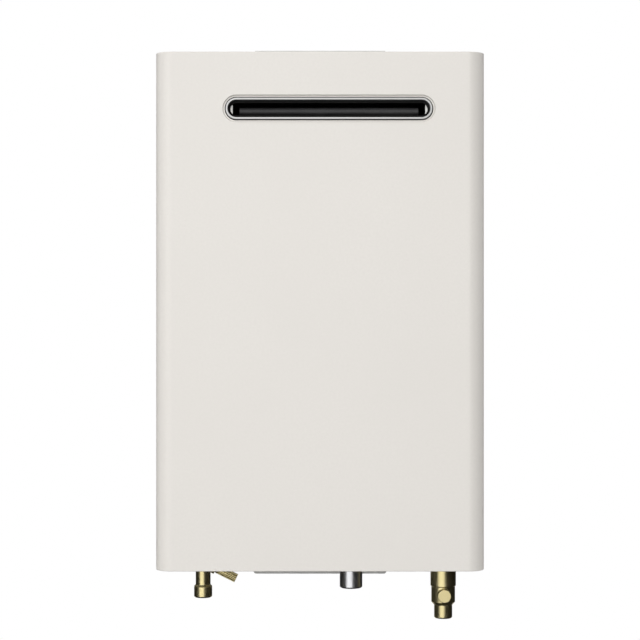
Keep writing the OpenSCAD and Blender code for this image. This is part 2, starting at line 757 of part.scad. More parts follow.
module burner_box() {
    color("silver") difference() {
        block(stack_x, stack_y, burn_z);
        block(stack_x + [hot_t, -hot_t], stack_y + [hot_t, -hot_t], burn_z + [hot_t, cut]);
        block(fan_neck_x + [fan_t, -fan_t], fan_y + [fan_t, -fan_t],
            shift(burn_z[0], [-cut, hot_t + cut]));
        at_nozzles() rod_y([stack_y[0] - cut, stack_y[0] + hot_t + cut], nozzle_r + seat_fit);
        for (x = concat(igniter_x, [flame_rod_x])) translate([x, 0, electrode_z])
            rod_y([stack_y[0] - cut, stack_y[0] + hot_t + cut], ceramic_r + seat_fit);
    }
}

bar_front_gap = 10;
bar_rear_gap = 2;
flame_slot_w = 3;
flame_slot_h = 12;
module burner_bars() {
    z = [burn_z[0] + hot_t, burn_z[0] + hot_t + burner_bar_h];
    y = [stack_y[0] + hot_t + bar_front_gap, stack_y[1] - hot_t - bar_rear_gap];
    color("darkgray") at_nozzles() translate([0, 0, -nozzle_z]) difference() {
        block([-1, 1] * burner_bar_w / 2, y, z);
        block([-1, 1] * flame_slot_w / 2, y + [bar_rear_gap, -bar_rear_gap],
            [z[1] - flame_slot_h, z[1] + cut]);
        translate([0, 0, nozzle_z]) rod_y([y[0] - cut, y[0] + 3 * bar_front_gap], flame_slot_w / 2);
    }
}

manifold_wall = 3;
lug_w = 8;
module gas_manifold() {
    half = (burner_count * burner_pitch) / 2;
    gallery_r = manifold_s / 2 - manifold_wall;
    color("goldenrod") {
        difference() {
            block([-half, half], manifold_y, manifold_z);
            translate([0, manifold_mid_y, nozzle_z]) rod_x([lug_w - half, half - lug_w], gallery_r);
            translate([gas_x, manifold_mid_y, 0]) rod_z([manifold_z[0] - cut, nozzle_z], gallery_r);
        }
        for (side = [-1, 1]) translate([side * (half - lug_w / 2 + lug_w), 0, 0])
            block([-1, 1] * lug_w, [manifold_y[0], stack_y[0]], manifold_z);
    }
}

module gas_nozzles() {
    y = [manifold_y[1], stack_y[0] + hot_t + nozzle_reach];
    color("goldenrod") at_nozzles() difference() {
        rod_y(y, nozzle_r);
        rod_y(y + [-cut, cut], nozzle_r / 4);
    }
}

electrode_flange = [18, 2, 14];
ceramic_out = 14;
ceramic_in = 14;
wire_r = 1.2;
wire_len = 22;
module electrode() {
    translate([0, stack_y[0], electrode_z]) {
        block(span(0, electrode_flange[0]), [-electrode_flange[1], 0], span(0, electrode_flange[2]));
        rod_y([-ceramic_out, hot_t + ceramic_in], ceramic_r);
        rod_y([hot_t + ceramic_in, hot_t + ceramic_in + wire_len], wire_r);
    }
}
module igniter_electrodes() { color("white") for (x = igniter_x) translate([x, 0, 0]) electrode(); }
module flame_rod() { color("white") translate([flame_rod_x, 0, 0]) electrode(); }

spark_size = [18, 60, 40];
module spark_module() {
    color("black") block(shift(stack_w / 2, [0, spark_size[0]]), span(y_pipe, spark_size[1]),
        span(burn_z[0] + burn_h / 2, spark_size[2]));
}

carrier_w = 30;
carrier_h = 24;
carrier_t = 2;
carrier_span = 150;
module stack_brackets() {
    y = [stack_y[1], y_panel];
    color("gray") for (side = [-1, 1], z = [burn_z[0] + burn_h / 2, exch_z[0] + exch_h / 2])
        translate([side * carrier_span / 2, 0, z]) along_x([-1, 1] * carrier_w / 2)
            polygon([[y[0], -carrier_h], [y[0] + carrier_t, -carrier_h], [y[0] + carrier_t, -carrier_t],
                [y[1] - carrier_t, -carrier_t], [y[1] - carrier_t, -carrier_h], [y[1], -carrier_h],
                [y[1], 0], [y[0], 0]]);
}

// Fan
module fan_housing() {
    neck_z = [fan_z, burn_z[0]];
    color("darkslategray") difference() {
        union() {
            at_fan() rod_y(fan_y, fan_r);
            block(fan_neck_x, fan_y, neck_z);
            block(fan_neck_x + [-fan_flange, fan_flange], fan_y + [-fan_flange, fan_flange],
                shift(burn_z[0], [-fan_t, 0]));
        }
        at_fan() rod_y(fan_y + [fan_t, -fan_t], fan_r - fan_t);
        block(fan_neck_x + [fan_t, -fan_t], fan_y + [fan_t, -fan_t], neck_z + [0, cut]);
        at_fan() rod_y([fan_y[0] - cut, fan_y[0] + fan_t + cut], shaft_r + fan_t);
        at_fan() rod_y([fan_y[1] - fan_t - cut, fan_y[1] + cut], impeller_r - impeller_ring);
    }
}

module fan_impeller() {
    y = impeller_y;
    inner_r = impeller_r - impeller_ring;
    color("slategray") at_fan() {
        difference() {
            union() {
                rod_y([y, y + impeller_disc_t], impeller_r);
                rod_y([y, y + hub_len], hub_r);
            }
            rod_y([y - cut, y + hub_len + cut], shaft_r + run_fit);
        }
        for (i = [0 : blade_count - 1]) rotate([0, i * 360 / blade_count, 0])
            block([inner_r, impeller_r - blade_inset], shift(y, [impeller_disc_t, impeller_w]),
                span(0, blade_t));
        along_y(shift(y + impeller_w, [0, impeller_disc_t])) ring(impeller_r, inner_r);
    }
}

module fan_shaft() {
    color("silver") at_fan() rod_y([motor_y[0] + shaft_inset, impeller_y + hub_len], shaft_r);
}

module fan_motor() {
    color("gray") {
        at_fan() difference() {
            rod_y(motor_y, motor_r);
            rod_y([motor_y[0] + shaft_inset - rest_gap, motor_y[1] + cut], shaft_r + run_fit);
        }
        translate([fan_x, (motor_y[0] + motor_y[1]) / 2, fan_z - motor_r - plug_block[2]])
            block([-1, 1] * plug_block[0] / 2, [-1, 1] * plug_block[1] / 2, [0, 2 * plug_block[2]]);
    }
}

// Hot water
hot_flange_r = 16;
hot_socket_r = 11;
step_chamfer = 1.7;
groove_w = 0.8;
groove_d = 0.8;
end_round = 2;
// Rounded rim of a pipe end, in the plane of its outline
module end_rim(r, tip) { translate([r - end_round, tip + end_round]) circle(r = end_round); }

module hot_outlet_fitting() {
    step = z_bottom - hot_step;
    tip = z_bottom - hot_end;
    groove = step - step_chamfer;
    top = z_fitting + spigot_h;
    color("darkgoldenrod") difference() {
        union() {
            at_hot() rotate_extrude() {
                polygon([[0, tip], [hot_end_r - end_round, tip], [hot_end_r, tip + end_round],
                    [hot_end_r, groove - groove_w], [hot_end_r - groove_d, groove - groove_w],
                    [hot_end_r - groove_d, groove], [hot_end_r, groove], [hot_tube_r, step],
                    [hot_tube_r, z_floor], [hot_flange_r, z_floor], [hot_flange_r, z_fitting],
                    [hot_socket_r, z_fitting], [hot_socket_r, top], [0, top]]);
                end_rim(hot_end_r, tip);
            }
            at_branch() rod_z([0, branch_len], branch_r);
            at_branch() rod_z([branch_len - branch_collar_len, branch_len], branch_collar_r);
        }
        at_hot() rod_z([tip - cut, top + cut], hot_bore_r);
        at_hot() rod_z([z_fitting, top + cut], pipe_r + seat_fit);
        at_branch() rod_z([0, branch_len + cut], hot_shank_r + run_fit);
    }
}

seal_inset = 0.3;
hot_seal_z = [branch_len + rest_gap, branch_len + rest_gap + seal_t];
module hot_plug_seal() {
    color("black") at_branch() along_z(hot_seal_z) ring(hot_plug_r - seal_inset, hot_shank_r + seat_fit);
}

flute_r = 1;
module hot_drain_plug() {
    head = [hot_seal_z[1] + rest_gap, hot_plug_end];
    color("darkgoldenrod") at_branch() {
        rod_z([branch_len - shank_len, head[0]], hot_shank_r);
        difference() {
            rod_z(head, hot_plug_r);
            for (i = [0 : flute_count - 1]) rotate([0, 0, i * 360 / flute_count])
                translate([hot_plug_r, 0, 0]) rod_z([head[0] + 2 * flute_r, head[1] + cut], flute_r);
        }
    }
}

module hot_pipe() {
    top = tube_z(tube_count - 1);
    bend_z = top - pipe_bend;
    color("chocolate") translate([hot_x, y_pipe, bend_z]) mirror([1, 0, 0])
        bent_pipe(pipe_bend, pipe_r, pipe_t, bend_z - z_fitting - rest_gap,
            hot_side - port_len - pipe_bend);
}

// Cold water
cold_groove = 0.6;
cold_boss_r = 7.4;
module cold_inlet_fitting() {
    upper = z_bottom - cold_step_upper;
    middle = z_bottom - cold_step_middle;
    lower = z_bottom - cold_step_lower;
    tip = z_bottom - cold_end;
    top = z_fitting + spigot_h - rest_gap;
    spigot_r = cold_bore_r + spigot_wall;
    color("darkgoldenrod") difference() {
        union() {
            at_cold() rotate_extrude() {
                polygon([[0, tip], [cold_end_r - end_round, tip], [cold_end_r, tip + end_round],
                    [cold_end_r, lower], [cold_end_r + cold_groove, lower], [cold_middle_r, middle],
                    [cold_middle_r, upper], [cold_upper_r, upper + cold_groove], [cold_upper_r, z_floor],
                    [cold_flange_r, z_floor], [cold_flange_r, z_fitting], [spigot_r, z_fitting],
                    [spigot_r, top], [0, top]]);
                end_rim(cold_end_r, tip);
            }
            at_cold_plug() rod_z([0, cold_boss_end], cold_boss_r);
        }
        at_cold() rod_z([tip - cut, top + cut], cold_bore_r);
        at_cold_plug() rod_z([0, cold_boss_end + cut], cold_shank_r + run_fit);
    }
}

cold_seal_z = [cold_boss_end + rest_gap, cold_boss_end + rest_gap + seal_t];
module cold_plug_seal() {
    color("black") at_cold_plug() along_z(cold_seal_z) ring(cold_boss_r, cold_shank_r + seat_fit);
}

plug_chamfer = 0.6;
module cold_drain_plug() {
    rear = cold_seal_z[1] + rest_gap;
    color("darkgoldenrod") at_cold_plug() {
        rod_z([cold_boss_end - shank_len, rear], cold_shank_r);
        rotate_extrude() polygon([[0, rear], [cold_plug_r, rear],
            [cold_plug_r, cold_plug_face - plug_chamfer], [cold_plug_r - plug_chamfer, cold_plug_face],
            [0, cold_plug_face]]);
    }
}

module inlet_strainer() {
    z = [strainer_gap - sqrt(pow(cold_bore_r, 2) - pow(strainer_r, 2)), cold_boss_end - shank_len];
    color("silver") at_cold_plug() difference() {
        rod_z(z, strainer_r);
        rod_z(z + [strainer_wall, cut], strainer_r - strainer_wall);
    }
}

turbine_gap = 0.8;
spider_w = 2;
spider_lap = 1;
press_fit = 0.02;
module flow_sensor_body() {
    spider_zs = [turbine_z - spider_t - rest_gap, turbine_z + turbine_len + rest_gap];
    bore = turbine_r + turbine_gap;
    socket_z = sensor_z[1] - socket_h;
    color("dimgray") at_cold() difference() {
        union() {
            difference() {
                rod_z(sensor_z, sensor_r);
                rod_z([sensor_z[0] - cut, sensor_z[0] + spigot_h], cold_bore_r + spigot_wall + seat_fit);
                rod_z([sensor_z[0], socket_z], bore);
                rod_z([socket_z - cut, sensor_z[1] + cut], pipe_r + seat_fit);
            }
            for (z = spider_zs, turn = [0, 90]) rotate([0, 0, turn])
                block([-1, 1] * (bore + spider_lap), span(0, spider_w), [z, z + spider_t]);
            for (z = spider_zs) rod_z([z, z + spider_t], spider_hub_r);
        }
        rod_z(sensor_z, axle_r + press_fit);
    }
}

turbine_hub_r = 3.2;
turbine_blades = 4;
turbine_twist = 35;
vane_t = 1;
vane_len = 14;
module flow_turbine() {
    mid = turbine_z + turbine_len / 2;
    color("white") at_cold() intersection() {
        rod_z([turbine_z, turbine_z + turbine_len], turbine_r);
        difference() {
            union() {
                rod_z([turbine_z, turbine_z + turbine_len], turbine_hub_r);
                for (i = [0 : turbine_blades - 1]) rotate([0, 0, i * 360 / turbine_blades])
                    translate([0, 0, mid]) rotate([turbine_twist, 0, 0])
                        block([2 * axle_r, 2 * turbine_r], span(0, vane_t), span(0, vane_len));
            }
            rod_z([turbine_z - cut, turbine_z + turbine_len + cut], axle_r + run_fit);
        }
    }
}

module flow_axle() {
    color("silver") at_cold()
        rod_z([turbine_z - spider_t - rest_gap, turbine_z + turbine_len + rest_gap + spider_t], axle_r);
}

module cold_pipe() {
    top = tube_z(0);
    bend_z = top - pipe_bend;
    color("chocolate") translate([cold_x, y_pipe, bend_z])
        bent_pipe(pipe_bend, pipe_r, pipe_t, bend_z - sensor_z[1] + socket_h - rest_gap,
            cold_side - port_len - pipe_bend);
}

// A clip ring round a water pipe
clip_t = 2.5;
clip_h = 12;
module clip_ring() { along_z([-1, 1] * clip_h / 2) ring(pipe_r + clip_t, pipe_r + seat_fit); }

arm_w = 6;
module pipe_clips() {
    color("black") for (x = [hot_x, cold_x]) translate([x, 0, clip_z]) {
        translate([0, y_pipe, 0]) clip_ring();
        block([-1, 1] * arm_w / 2, [y_pipe + pipe_r + clip_t / 2, y_panel], [-1, 1] * clip_h / 2);
    }
}

thermistor_r = 4;
thermistor_len = 14;
thermistor_rise = 40;
module water_thermistors() {
    color("gray") for (x = [hot_x, cold_x]) translate([x, y_pipe, clip_z + thermistor_rise]) {
        clip_ring();
        rod_y([-pipe_r - clip_t / 2 - thermistor_len, -pipe_r - clip_t / 2], thermistor_r);
    }
}

// Gas
module gas_inlet_nipple() {
    tip = z_bottom - gas_end;
    collar = z_bottom - gas_collar_drop;
    color("silver") at_gas() difference() {
        rotate_extrude() {
            polygon([[0, tip], [gas_r - end_round, tip], [gas_r, tip + end_round], [gas_r, collar],
                [gas_collar_r, collar], [gas_collar_r, z_under], [gas_neck_r, z_under],
                [gas_neck_r, z_fitting], [0, z_fitting]]);
            end_rim(gas_r, tip);
        }
        rod_z([tip - cut, z_fitting + cut], gas_bore_r);
    }
}

module gas_valve_body() {
    color("silver") at_gas() difference() {
        block([-1, 1] * valve_w / 2, [-1, 1] * valve_d / 2, valve_z);
        rod_z([valve_z[0] - cut, valve_z[1] - chamber_h - manifold_wall], gas_bore_r);
        rod_z(valve_z, plunger_r);
        rod_z([valve_z[1] - chamber_h, valve_z[1] + cut], chamber_r);
        translate([0, 0, gas_out_z]) rod_y([-valve_d / 2 - cut, 0], gas_pipe_r - gas_pipe_t);
    }
}

module gas_solenoid_coil() {
    color("black") at_gas() difference() {
        rod_z([valve_z[1], valve_z[1] + coil_h], coil_r);
        rod_z([valve_z[1] - cut, valve_z[1] + coil_h - coil_cap], plunger_r + run_fit);
    }
}

chamber_gap = 0.5;
module gas_valve_plunger() {
    color("silver") at_gas() {
        rod_z(plunger_z, plunger_r);
        rod_z([plunger_z[0], plunger_z[0] + plunger_disc_t], chamber_r - chamber_gap);
    }
}

module plunger_spring() {
    color("silver") at_gas() along_z([plunger_z[1], valve_z[1] + coil_h - coil_cap])
        ring(plunger_r - seat_fit, plunger_r - seat_fit - spring_wall);
}

module gas_pipe() {
    y_valve = y_pipe - valve_d / 2;
    bend_z = gas_out_z + gas_pipe_bend;
    color("silver") translate([gas_x, manifold_mid_y, bend_z]) rotate([0, 0, -90]) mirror([0, 0, 1])
        bent_pipe(gas_pipe_bend, gas_pipe_r, gas_pipe_t, manifold_z[0] - bend_z,
            y_valve - manifold_mid_y - gas_pipe_bend);
}

// Controls
post_r = 3.5;
module control_box() {
    color("black") {
        difference() {
            block(ctrl_xs, ctrl_ys, ctrl_zs);
            block(ctrl_xs + [ctrl_t, -ctrl_t], ctrl_ys + [-cut, -ctrl_t], ctrl_zs + [ctrl_t, -ctrl_t]);
            translate([ctrl_x, grommet_y, 0])
                rod_z([z_floor - cut, z_floor + ctrl_t + cut], cable_r + grommet_wall + seat_fit);
        }
        at_board_holes() difference() {
            rod_y([board_y + board_t, ctrl_ys[1] - ctrl_t], post_r);
            rod_y([board_y, board_y + board_t + standoff_h - cut], screw_r + run_fit);
        }
    }
}

module control_box_lid() {
    color("dimgray") block(ctrl_xs, shift(ctrl_ys[0], [-ctrl_t, 0]), ctrl_zs);
}

screw_r = 1.5;
module control_board() {
    color("darkgreen") difference() {
        block(board_xs, shift(board_y, [0, board_t]), board_zs);
        at_board_holes() rod_y([board_y - cut, board_y + board_t + cut], screw_r + run_fit);
    }
}

relay_size = [18, 14, 15];
relay_count = 3;
capacitor_r = 6;
capacitor_h = 22;
module board_parts() {
    step = (board_xs[1] - board_xs[0]) / (relay_count + 1);
    color("royalblue") for (i = [1 : relay_count])
        translate([board_xs[0] + i * step, board_y, board_zs[0] + (board_zs[1] - board_zs[0]) * 0.3]) {
            block([-1, 1] * relay_size[0] / 2, [-relay_size[1], 0], [-1, 1] * relay_size[2] / 2);
            translate([0, 0, 2 * relay_size[2]]) rod_y([-capacitor_h, 0], capacitor_r);
        }
}

screw_head_h = 2;
module board_screws() {
    color("silver") at_board_holes() {
        rod_y([board_y, board_y + board_t + standoff_h / 2], screw_r);
        rod_y([board_y - screw_head_h, board_y], 2 * screw_r);
    }
}

module wiring_loom() {
    color("black") translate([fan_x, (motor_y[0] + motor_y[1]) / 2, 0])
        rod_z([ctrl_zs[1], fan_z - motor_r - plug_block[2]], loom_r);
}

rear_case();
front_cover();
vent_bezel();
flue_gasket();
exhaust_deflector();
upper_bracket();
lower_bracket();
bracket_rivets();
cover_screws();
intake_grille();
cable_grommet();
exhaust_hood();
heat_exchanger_shell();
heat_exchanger_fins();
heat_exchanger_tubes();
overheat_switch();
burner_box();
burner_bars();
gas_manifold();
gas_nozzles();
igniter_electrodes();
flame_rod();
spark_module();
stack_brackets();
fan_housing();
fan_impeller();
fan_shaft();
fan_motor();
hot_outlet_fitting();
hot_drain_plug();
hot_plug_seal();
hot_pipe();
cold_inlet_fitting();
cold_drain_plug();
cold_plug_seal();
inlet_strainer();
flow_sensor_body();
flow_turbine();
flow_axle();
cold_pipe();
pipe_clips();
water_thermistors();
gas_inlet_nipple();
gas_valve_body();
gas_solenoid_coil();
gas_valve_plunger();
plunger_spring();
gas_pipe();
control_box();
control_box_lid();
control_board();
board_parts();
board_screws();
wiring_loom();
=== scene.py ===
"""Looks of a wall-hung propane tankless water heater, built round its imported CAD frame.

Sizes are in millimetres and turn into metres where a mesh or a pattern is made. The front faces -Y, +Z is
up and the wall is the plane y = 0.
"""

import json
import logging
import math
from collections.abc import Callable, Iterable, Sequence
from dataclasses import dataclass, field
from enum import Enum

import bmesh
import bpy
from mathutils import Matrix, Vector


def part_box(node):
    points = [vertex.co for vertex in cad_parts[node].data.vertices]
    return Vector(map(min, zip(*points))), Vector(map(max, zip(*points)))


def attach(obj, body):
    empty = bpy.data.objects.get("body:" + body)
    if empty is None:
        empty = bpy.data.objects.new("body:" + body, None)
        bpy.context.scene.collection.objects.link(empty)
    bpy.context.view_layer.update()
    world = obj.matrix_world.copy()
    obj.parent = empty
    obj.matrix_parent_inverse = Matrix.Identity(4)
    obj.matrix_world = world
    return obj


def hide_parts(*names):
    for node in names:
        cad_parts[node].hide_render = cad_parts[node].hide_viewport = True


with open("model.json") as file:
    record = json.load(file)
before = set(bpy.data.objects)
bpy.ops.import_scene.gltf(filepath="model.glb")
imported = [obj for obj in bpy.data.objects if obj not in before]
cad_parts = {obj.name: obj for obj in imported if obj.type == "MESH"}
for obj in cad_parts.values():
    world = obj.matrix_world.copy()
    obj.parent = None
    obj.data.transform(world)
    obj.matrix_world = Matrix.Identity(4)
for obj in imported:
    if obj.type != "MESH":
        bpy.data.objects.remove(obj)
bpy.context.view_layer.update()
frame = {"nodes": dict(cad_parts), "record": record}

LOG = logging.getLogger("water_heater")
SLOT_OF = {part["node"]: part["material_slot"] for part in frame["record"]["subparts"]}
BODY_OF = {node: body for body, nodes in frame["record"]["behaviour"]["bodies"].items() for node in nodes}

# One millimetre in metres
MM = 0.001
FRONT = (0.0, -1.0, 0.0)
UP = (0.0, 0.0, 1.0)
DOWN = (0.0, 0.0, -1.0)
WHITE = (1.0, 1.0, 1.0, 1.0)

# Points of a copied mesh nearer than this are one point
SAME_POINT_MM = 0.002
# Faces of a copied mesh that turn by less than this are one flat face
FLAT_DEG = 0.4
# Edges that turn by more than this are rounded
CORNER_DEG = 30.0
# Edges that turn by more than this stay sharp in the shading
SHARP_DEG = 35.0
ROUND_SIDES = 32
HEX_SIDES = 6

# Range of a pattern times its patches over which colour and roughness change
PATTERN_LOW = 0.1
PATTERN_HIGH = 0.45
# Width of a rolling streak as a share of its length
STREAK = 0.03
# Heights on a circuit board: two kinds of track, and the gap between them with its width
HIGH_TRACK = (0.8, 0.8, 0.8, 1.0)
LOW_TRACK = (0.6, 0.6, 0.6, 1.0)
TRACK_GAP = (0.1, 0.1, 0.1, 1.0)
TRACK_GAP_WIDTH = 0.06
COAT_ROUGHNESS = 0.1


class Grain(Enum):
    """How a surface was made, which decides the pattern that it shows."""

    SPRAYED = "sprayed"
    DIPPED = "hot dipped"
    ROLLED = "rolled"
    TURNED = "turned"
    MOULDED = "moulded"
    CAST = "cast"
    ETCHED = "etched"


class Reach(Enum):
    """Kind of surface that a light shows on: matt, then glossy."""

    MATT = (True, False)
    GLOSS = (False, True)


class Axis(Enum):
    """Direction in which a rolled or turned pattern runs."""

    X = (0.0, 0.0, 0.0)
    Z = (0.0, math.pi / 2, 0.0)


def linear(code: str) -> tuple[float, float, float, float]:
    """Turn an sRGB hex colour into linear red, green, blue and alpha.

    Args:
        code: Six hex digits after a hash sign.

    Returns:
        The linear colour with an alpha of one.
    """
    parts = [int(code[i : i + 2], 16) / 255 for i in (1, 3, 5)]
    # The curve is the sRGB standard's own
    made = [v / 12.92 if v <= 0.04045 else ((v + 0.055) / 1.055) ** 2.4 for v in parts]
    return made[0], made[1], made[2], 1.0


def add(tree: bpy.types.NodeTree, kind: str, settings: dict | None = None,
        inputs: dict | None = None) -> bpy.types.Node:
    """Add a node with its settings, and set or link its inputs.

    Args:
        tree: The node tree that the node goes into.
        kind: The node's type name.
        settings: Properties of the node.
        inputs: Values, or sockets to link, by input name or number.

    Returns:
        The new node.
    """
    node = tree.nodes.new(kind)
    for key, value in (settings or {}).items():
        setattr(node, key, value)
    for key, value in (inputs or {}).items():
        if isinstance(value, bpy.types.NodeSocket):
            tree.links.new(value, node.inputs[key])
        else:
            node.inputs[key].default_value = value
    return node


@dataclass(frozen=True)
class Finish:
    """A procedural material, named for the real one.

    Attributes:
        name: Common name of the material and how its surface was made.
        light: Colour of its bright parts.
        dark: Colour of its dull parts.
        metallic: One for bare metal, zero for paint, plastic and ceramic.
        rough: Least and most roughness.
        grain: How the surface was made.
        grain_mm: Size of the pattern.
        bump_mm: Height of the pattern.
        mottle_mm: Size of the broad, faint patches.
        axis: Direction of a rolled or turned pattern.
        coat: Weight of a clear coat or glaze.
    """

    name: str
    light: str
    dark: str
    metallic: float
    rough: tuple[float, float]
    grain: Grain
    grain_mm: float
    bump_mm: float
    mottle_mm: float
    axis: Axis = Axis.Z
    coat: float = 0.0

    def pattern(self, tree: bpy.types.NodeTree, place: bpy.types.NodeSocket) -> bpy.types.NodeSocket:
        """Add the grain's texture to a material.

        Args:
            tree: The material's node tree.
            place: Object coordinates.

        Returns:
            The socket that gives the pattern's height from zero to one.
        """
        per_metre = 1 / (self.grain_mm * MM)
        along = per_metre * STREAK if self.grain is Grain.ROLLED else per_metre
        turned = add(tree, "ShaderNodeMapping", {"vector_type": "TEXTURE"}, {
            "Vector": place, "Rotation": self.axis.value})
        scaled = add(tree, "ShaderNodeMapping", {}, {
            "Vector": turned.outputs[0], "Scale": (along, per_metre, per_metre)})
        where = scaled.outputs[0]
        if self.grain is Grain.TURNED:
            # A wave band repeats every pi / 10 units
            wave = add(tree, "ShaderNodeTexWave", {"wave_type": "BANDS", "bands_direction": "X"}, {
                "Vector": where, "Scale": math.pi / 10, "Distortion": 1.5, "Detail": 2.0})
            return wave.outputs["Fac"]
        if self.grain in (Grain.DIPPED, Grain.CAST):
            cells = add(tree, "ShaderNodeTexVoronoi", {"feature": "F1"}, {"Vector": where, "Scale": 1.0})
            return cells.outputs["Distance" if self.grain is Grain.CAST else "Color"]
        if self.grain is Grain.ETCHED:
            tracks = add(tree, "ShaderNodeTexBrick", {}, {
                "Vector": where, "Scale": 1.0, "Color1": HIGH_TRACK, "Color2": LOW_TRACK,
                "Mortar": TRACK_GAP, "Mortar Size": TRACK_GAP_WIDTH})
            return tracks.outputs["Color"]
        detail = {Grain.SPRAYED: 1.0, Grain.ROLLED: 4.0, Grain.MOULDED: 2.0}[self.grain]
        noise = add(tree, "ShaderNodeTexNoise", {}, {"Vector": where, "Scale": 1.0, "Detail": detail})
        return noise.outputs["Fac"]

    def material(self) -> bpy.types.Material:
        """Build the material, or give the one built before.

        Returns:
            The material.
        """
        known = bpy.data.materials.get(self.name)
        if known:
            return known
        made = bpy.data.materials.new(self.name)
        made.use_nodes = True
        tree = made.node_tree
        tree.nodes.clear()
        place = add(tree, "ShaderNodeTexCoord").outputs["Object"]
        height = self.pattern(tree, place)
        patches = add(tree, "ShaderNodeTexNoise", {}, {
            "Vector": place, "Scale": 1 / (self.mottle_mm * MM), "Detail": 3.0}).outputs["Fac"]
        share = add(tree, "ShaderNodeMath", {"operation": "MULTIPLY"}, {0: height, 1: patches}).outputs[0]
        span = {"Value": share, "From Min": PATTERN_LOW, "From Max": PATTERN_HIGH}
        spread = add(tree, "ShaderNodeMapRange", {}, span)
        # A colour mix has its factor at input 0, its colours at 6 and 7 and its result at output 2
        colour = add(tree, "ShaderNodeMix", {"data_type": "RGBA"}, {
            0: spread.outputs[0], 6: linear(self.dark), 7: linear(self.light)})
        rough = add(tree, "ShaderNodeMapRange", {}, {
            **span, "To Min": self.rough[0], "To Max": self.rough[1]})
        bump = add(tree, "ShaderNodeBump", {}, {
            "Height": height, "Distance": self.bump_mm * MM, "Strength": 1.0})
        shader = add(tree, "ShaderNodeBsdfPrincipled", {}, {
            "Base Color": colour.outputs[2], "Roughness": rough.outputs[0], "Normal": bump.outputs[0],
            "Metallic": self.metallic, "Coat Weight": self.coat, "Coat Roughness": COAT_ROUGHNESS})
        add(tree, "ShaderNodeOutputMaterial", {}, {"Surface": shader.outputs[0]})
        return made


# Lathe rings, brushing, rolling streaks and moulded grain are finer than 0.5 mm on the real pieces, and are
# drawn as coarse as they need to be to show
FINISHES: dict[str, Finish] = {
    # Powder coat on sheet steel: warm off-white satin with a very faint orange peel, drawn coarser than the
    # real 1 mm so that it shows
    "cover_paint": Finish("powder_coated_steel", "#E6E2DC", "#E3DFD9", 0.0, (0.36, 0.42), Grain.SPRAYED,
                          3.0, 0.01, 140.0),
    # Galvanised sheet: grey zinc with spangle, each crystal a little lighter or darker
    "case_steel": Finish("galvanised_sheet_steel", "#C6C7C5", "#B3B5B5", 0.4, (0.38, 0.5), Grain.DIPPED,
                         9.0, 0.004, 50.0),
    # Zinc plated bracket steel: pale and dull, with the streaks of the rolling mill
    "bracket_steel": Finish("zinc_plated_steel", "#D4D3D0", "#C1C0BC", 0.2, (0.42, 0.55), Grain.ROLLED,
                            1.2, 0.006, 30.0, Axis.X),
    # Satin aluminium bezel: bright, with fine brushing along its length
    "bezel_metal": Finish("satin_aluminium", "#B8B8B7", "#A8A8A7", 0.85, (0.3, 0.4), Grain.ROLLED,
                          0.8, 0.003, 40.0, Axis.X),
    # Zinc plated screws, rivets and shafts: small, pale and half shiny, with turning marks
    "screw_steel": Finish("bright_zinc_steel", "#D2D2CF", "#B0B0AC", 0.35, (0.28, 0.4), Grain.TURNED,
                          0.6, 0.004, 20.0),
    # Stainless flue sheet: pale and matt, with faint streaks from the rolling mill
    "flue_steel": Finish("rolled_stainless_sheet", "#EDEDEA", "#D0D0CC", 0.3, (0.36, 0.48), Grain.ROLLED,
                         1.0, 0.004, 70.0, Axis.X),
    # Heat-proof paint on the deflector: near black, matt
    "deflector_steel": Finish("heat_proof_paint", "#3A3A3B", "#242425", 0.1, (0.5, 0.6), Grain.SPRAYED,
                              1.5, 0.01, 40.0),
    # Turned steel nipple: bright, with fine rings from the lathe that soften its reflections
    "nipple_steel": Finish("turned_bright_steel", "#E0E0E2", "#C4C4C5", 1.0, (0.28, 0.4), Grain.TURNED,
                           0.9, 0.003, 25.0),
    # Turned brass: pale yellow where it catches the light, brown where it doesn't, with lathe rings
    "brass": Finish("turned_brass", "#DBD0A2", "#C9BA87", 1.0, (0.28, 0.4), Grain.TURNED,
                    0.9, 0.002, 22.0),
    # Drawn copper: warm and a little oxidised in patches
    "copper": Finish("drawn_copper", "#DC9A78", "#CE8A67", 0.7, (0.28, 0.38), Grain.ROLLED,
                     1.5, 0.004, 45.0),
    # Rubber: black and matt, with a fine moulded grain
    "rubber": Finish("moulded_rubber", "#1E1E1E", "#101010", 0.0, (0.68, 0.8), Grain.MOULDED,
                     0.8, 0.01, 25.0),
    # Glass-filled plastic: dark, with a spark-eroded texture
    "dark_plastic": Finish("moulded_dark_nylon", "#37383A", "#26272A", 0.0, (0.45, 0.58), Grain.MOULDED,
                           0.9, 0.012, 40.0),
    # Grey nylon: the same texture on a mid grey
    "grey_plastic": Finish("moulded_grey_nylon", "#83868A", "#6C6F73", 0.0, (0.42, 0.55), Grain.MOULDED,
                           0.9, 0.012, 40.0),
    # White acetal: smooth and a little waxy
    "white_plastic": Finish("moulded_white_acetal", "#ECEBE6", "#DAD8D1", 0.0, (0.32, 0.42), Grain.MOULDED,
                            0.9, 0.006, 30.0),
    # Glazed alumina: white with a clear gloss
    "ceramic": Finish("glazed_alumina", "#F0EDE6", "#DDD8CC", 0.0, (0.25, 0.35), Grain.CAST,
                      1.5, 0.004, 15.0, Axis.Z, 0.6),
    # Circuit board: green solder mask over copper tracks
    "board": Finish("solder_masked_board", "#1E6B42", "#0F4428", 0.0, (0.3, 0.4), Grain.ETCHED,
                    6.0, 0.03, 30.0, Axis.X, 0.3),
    # Die cast aluminium: pale grey with a grainy, slightly rough skin
    "valve_alloy": Finish("die_cast_aluminium", "#BFC0C0", "#9B9C9E", 0.9, (0.42, 0.58), Grain.CAST,
                          1.4, 0.02, 30.0),
}
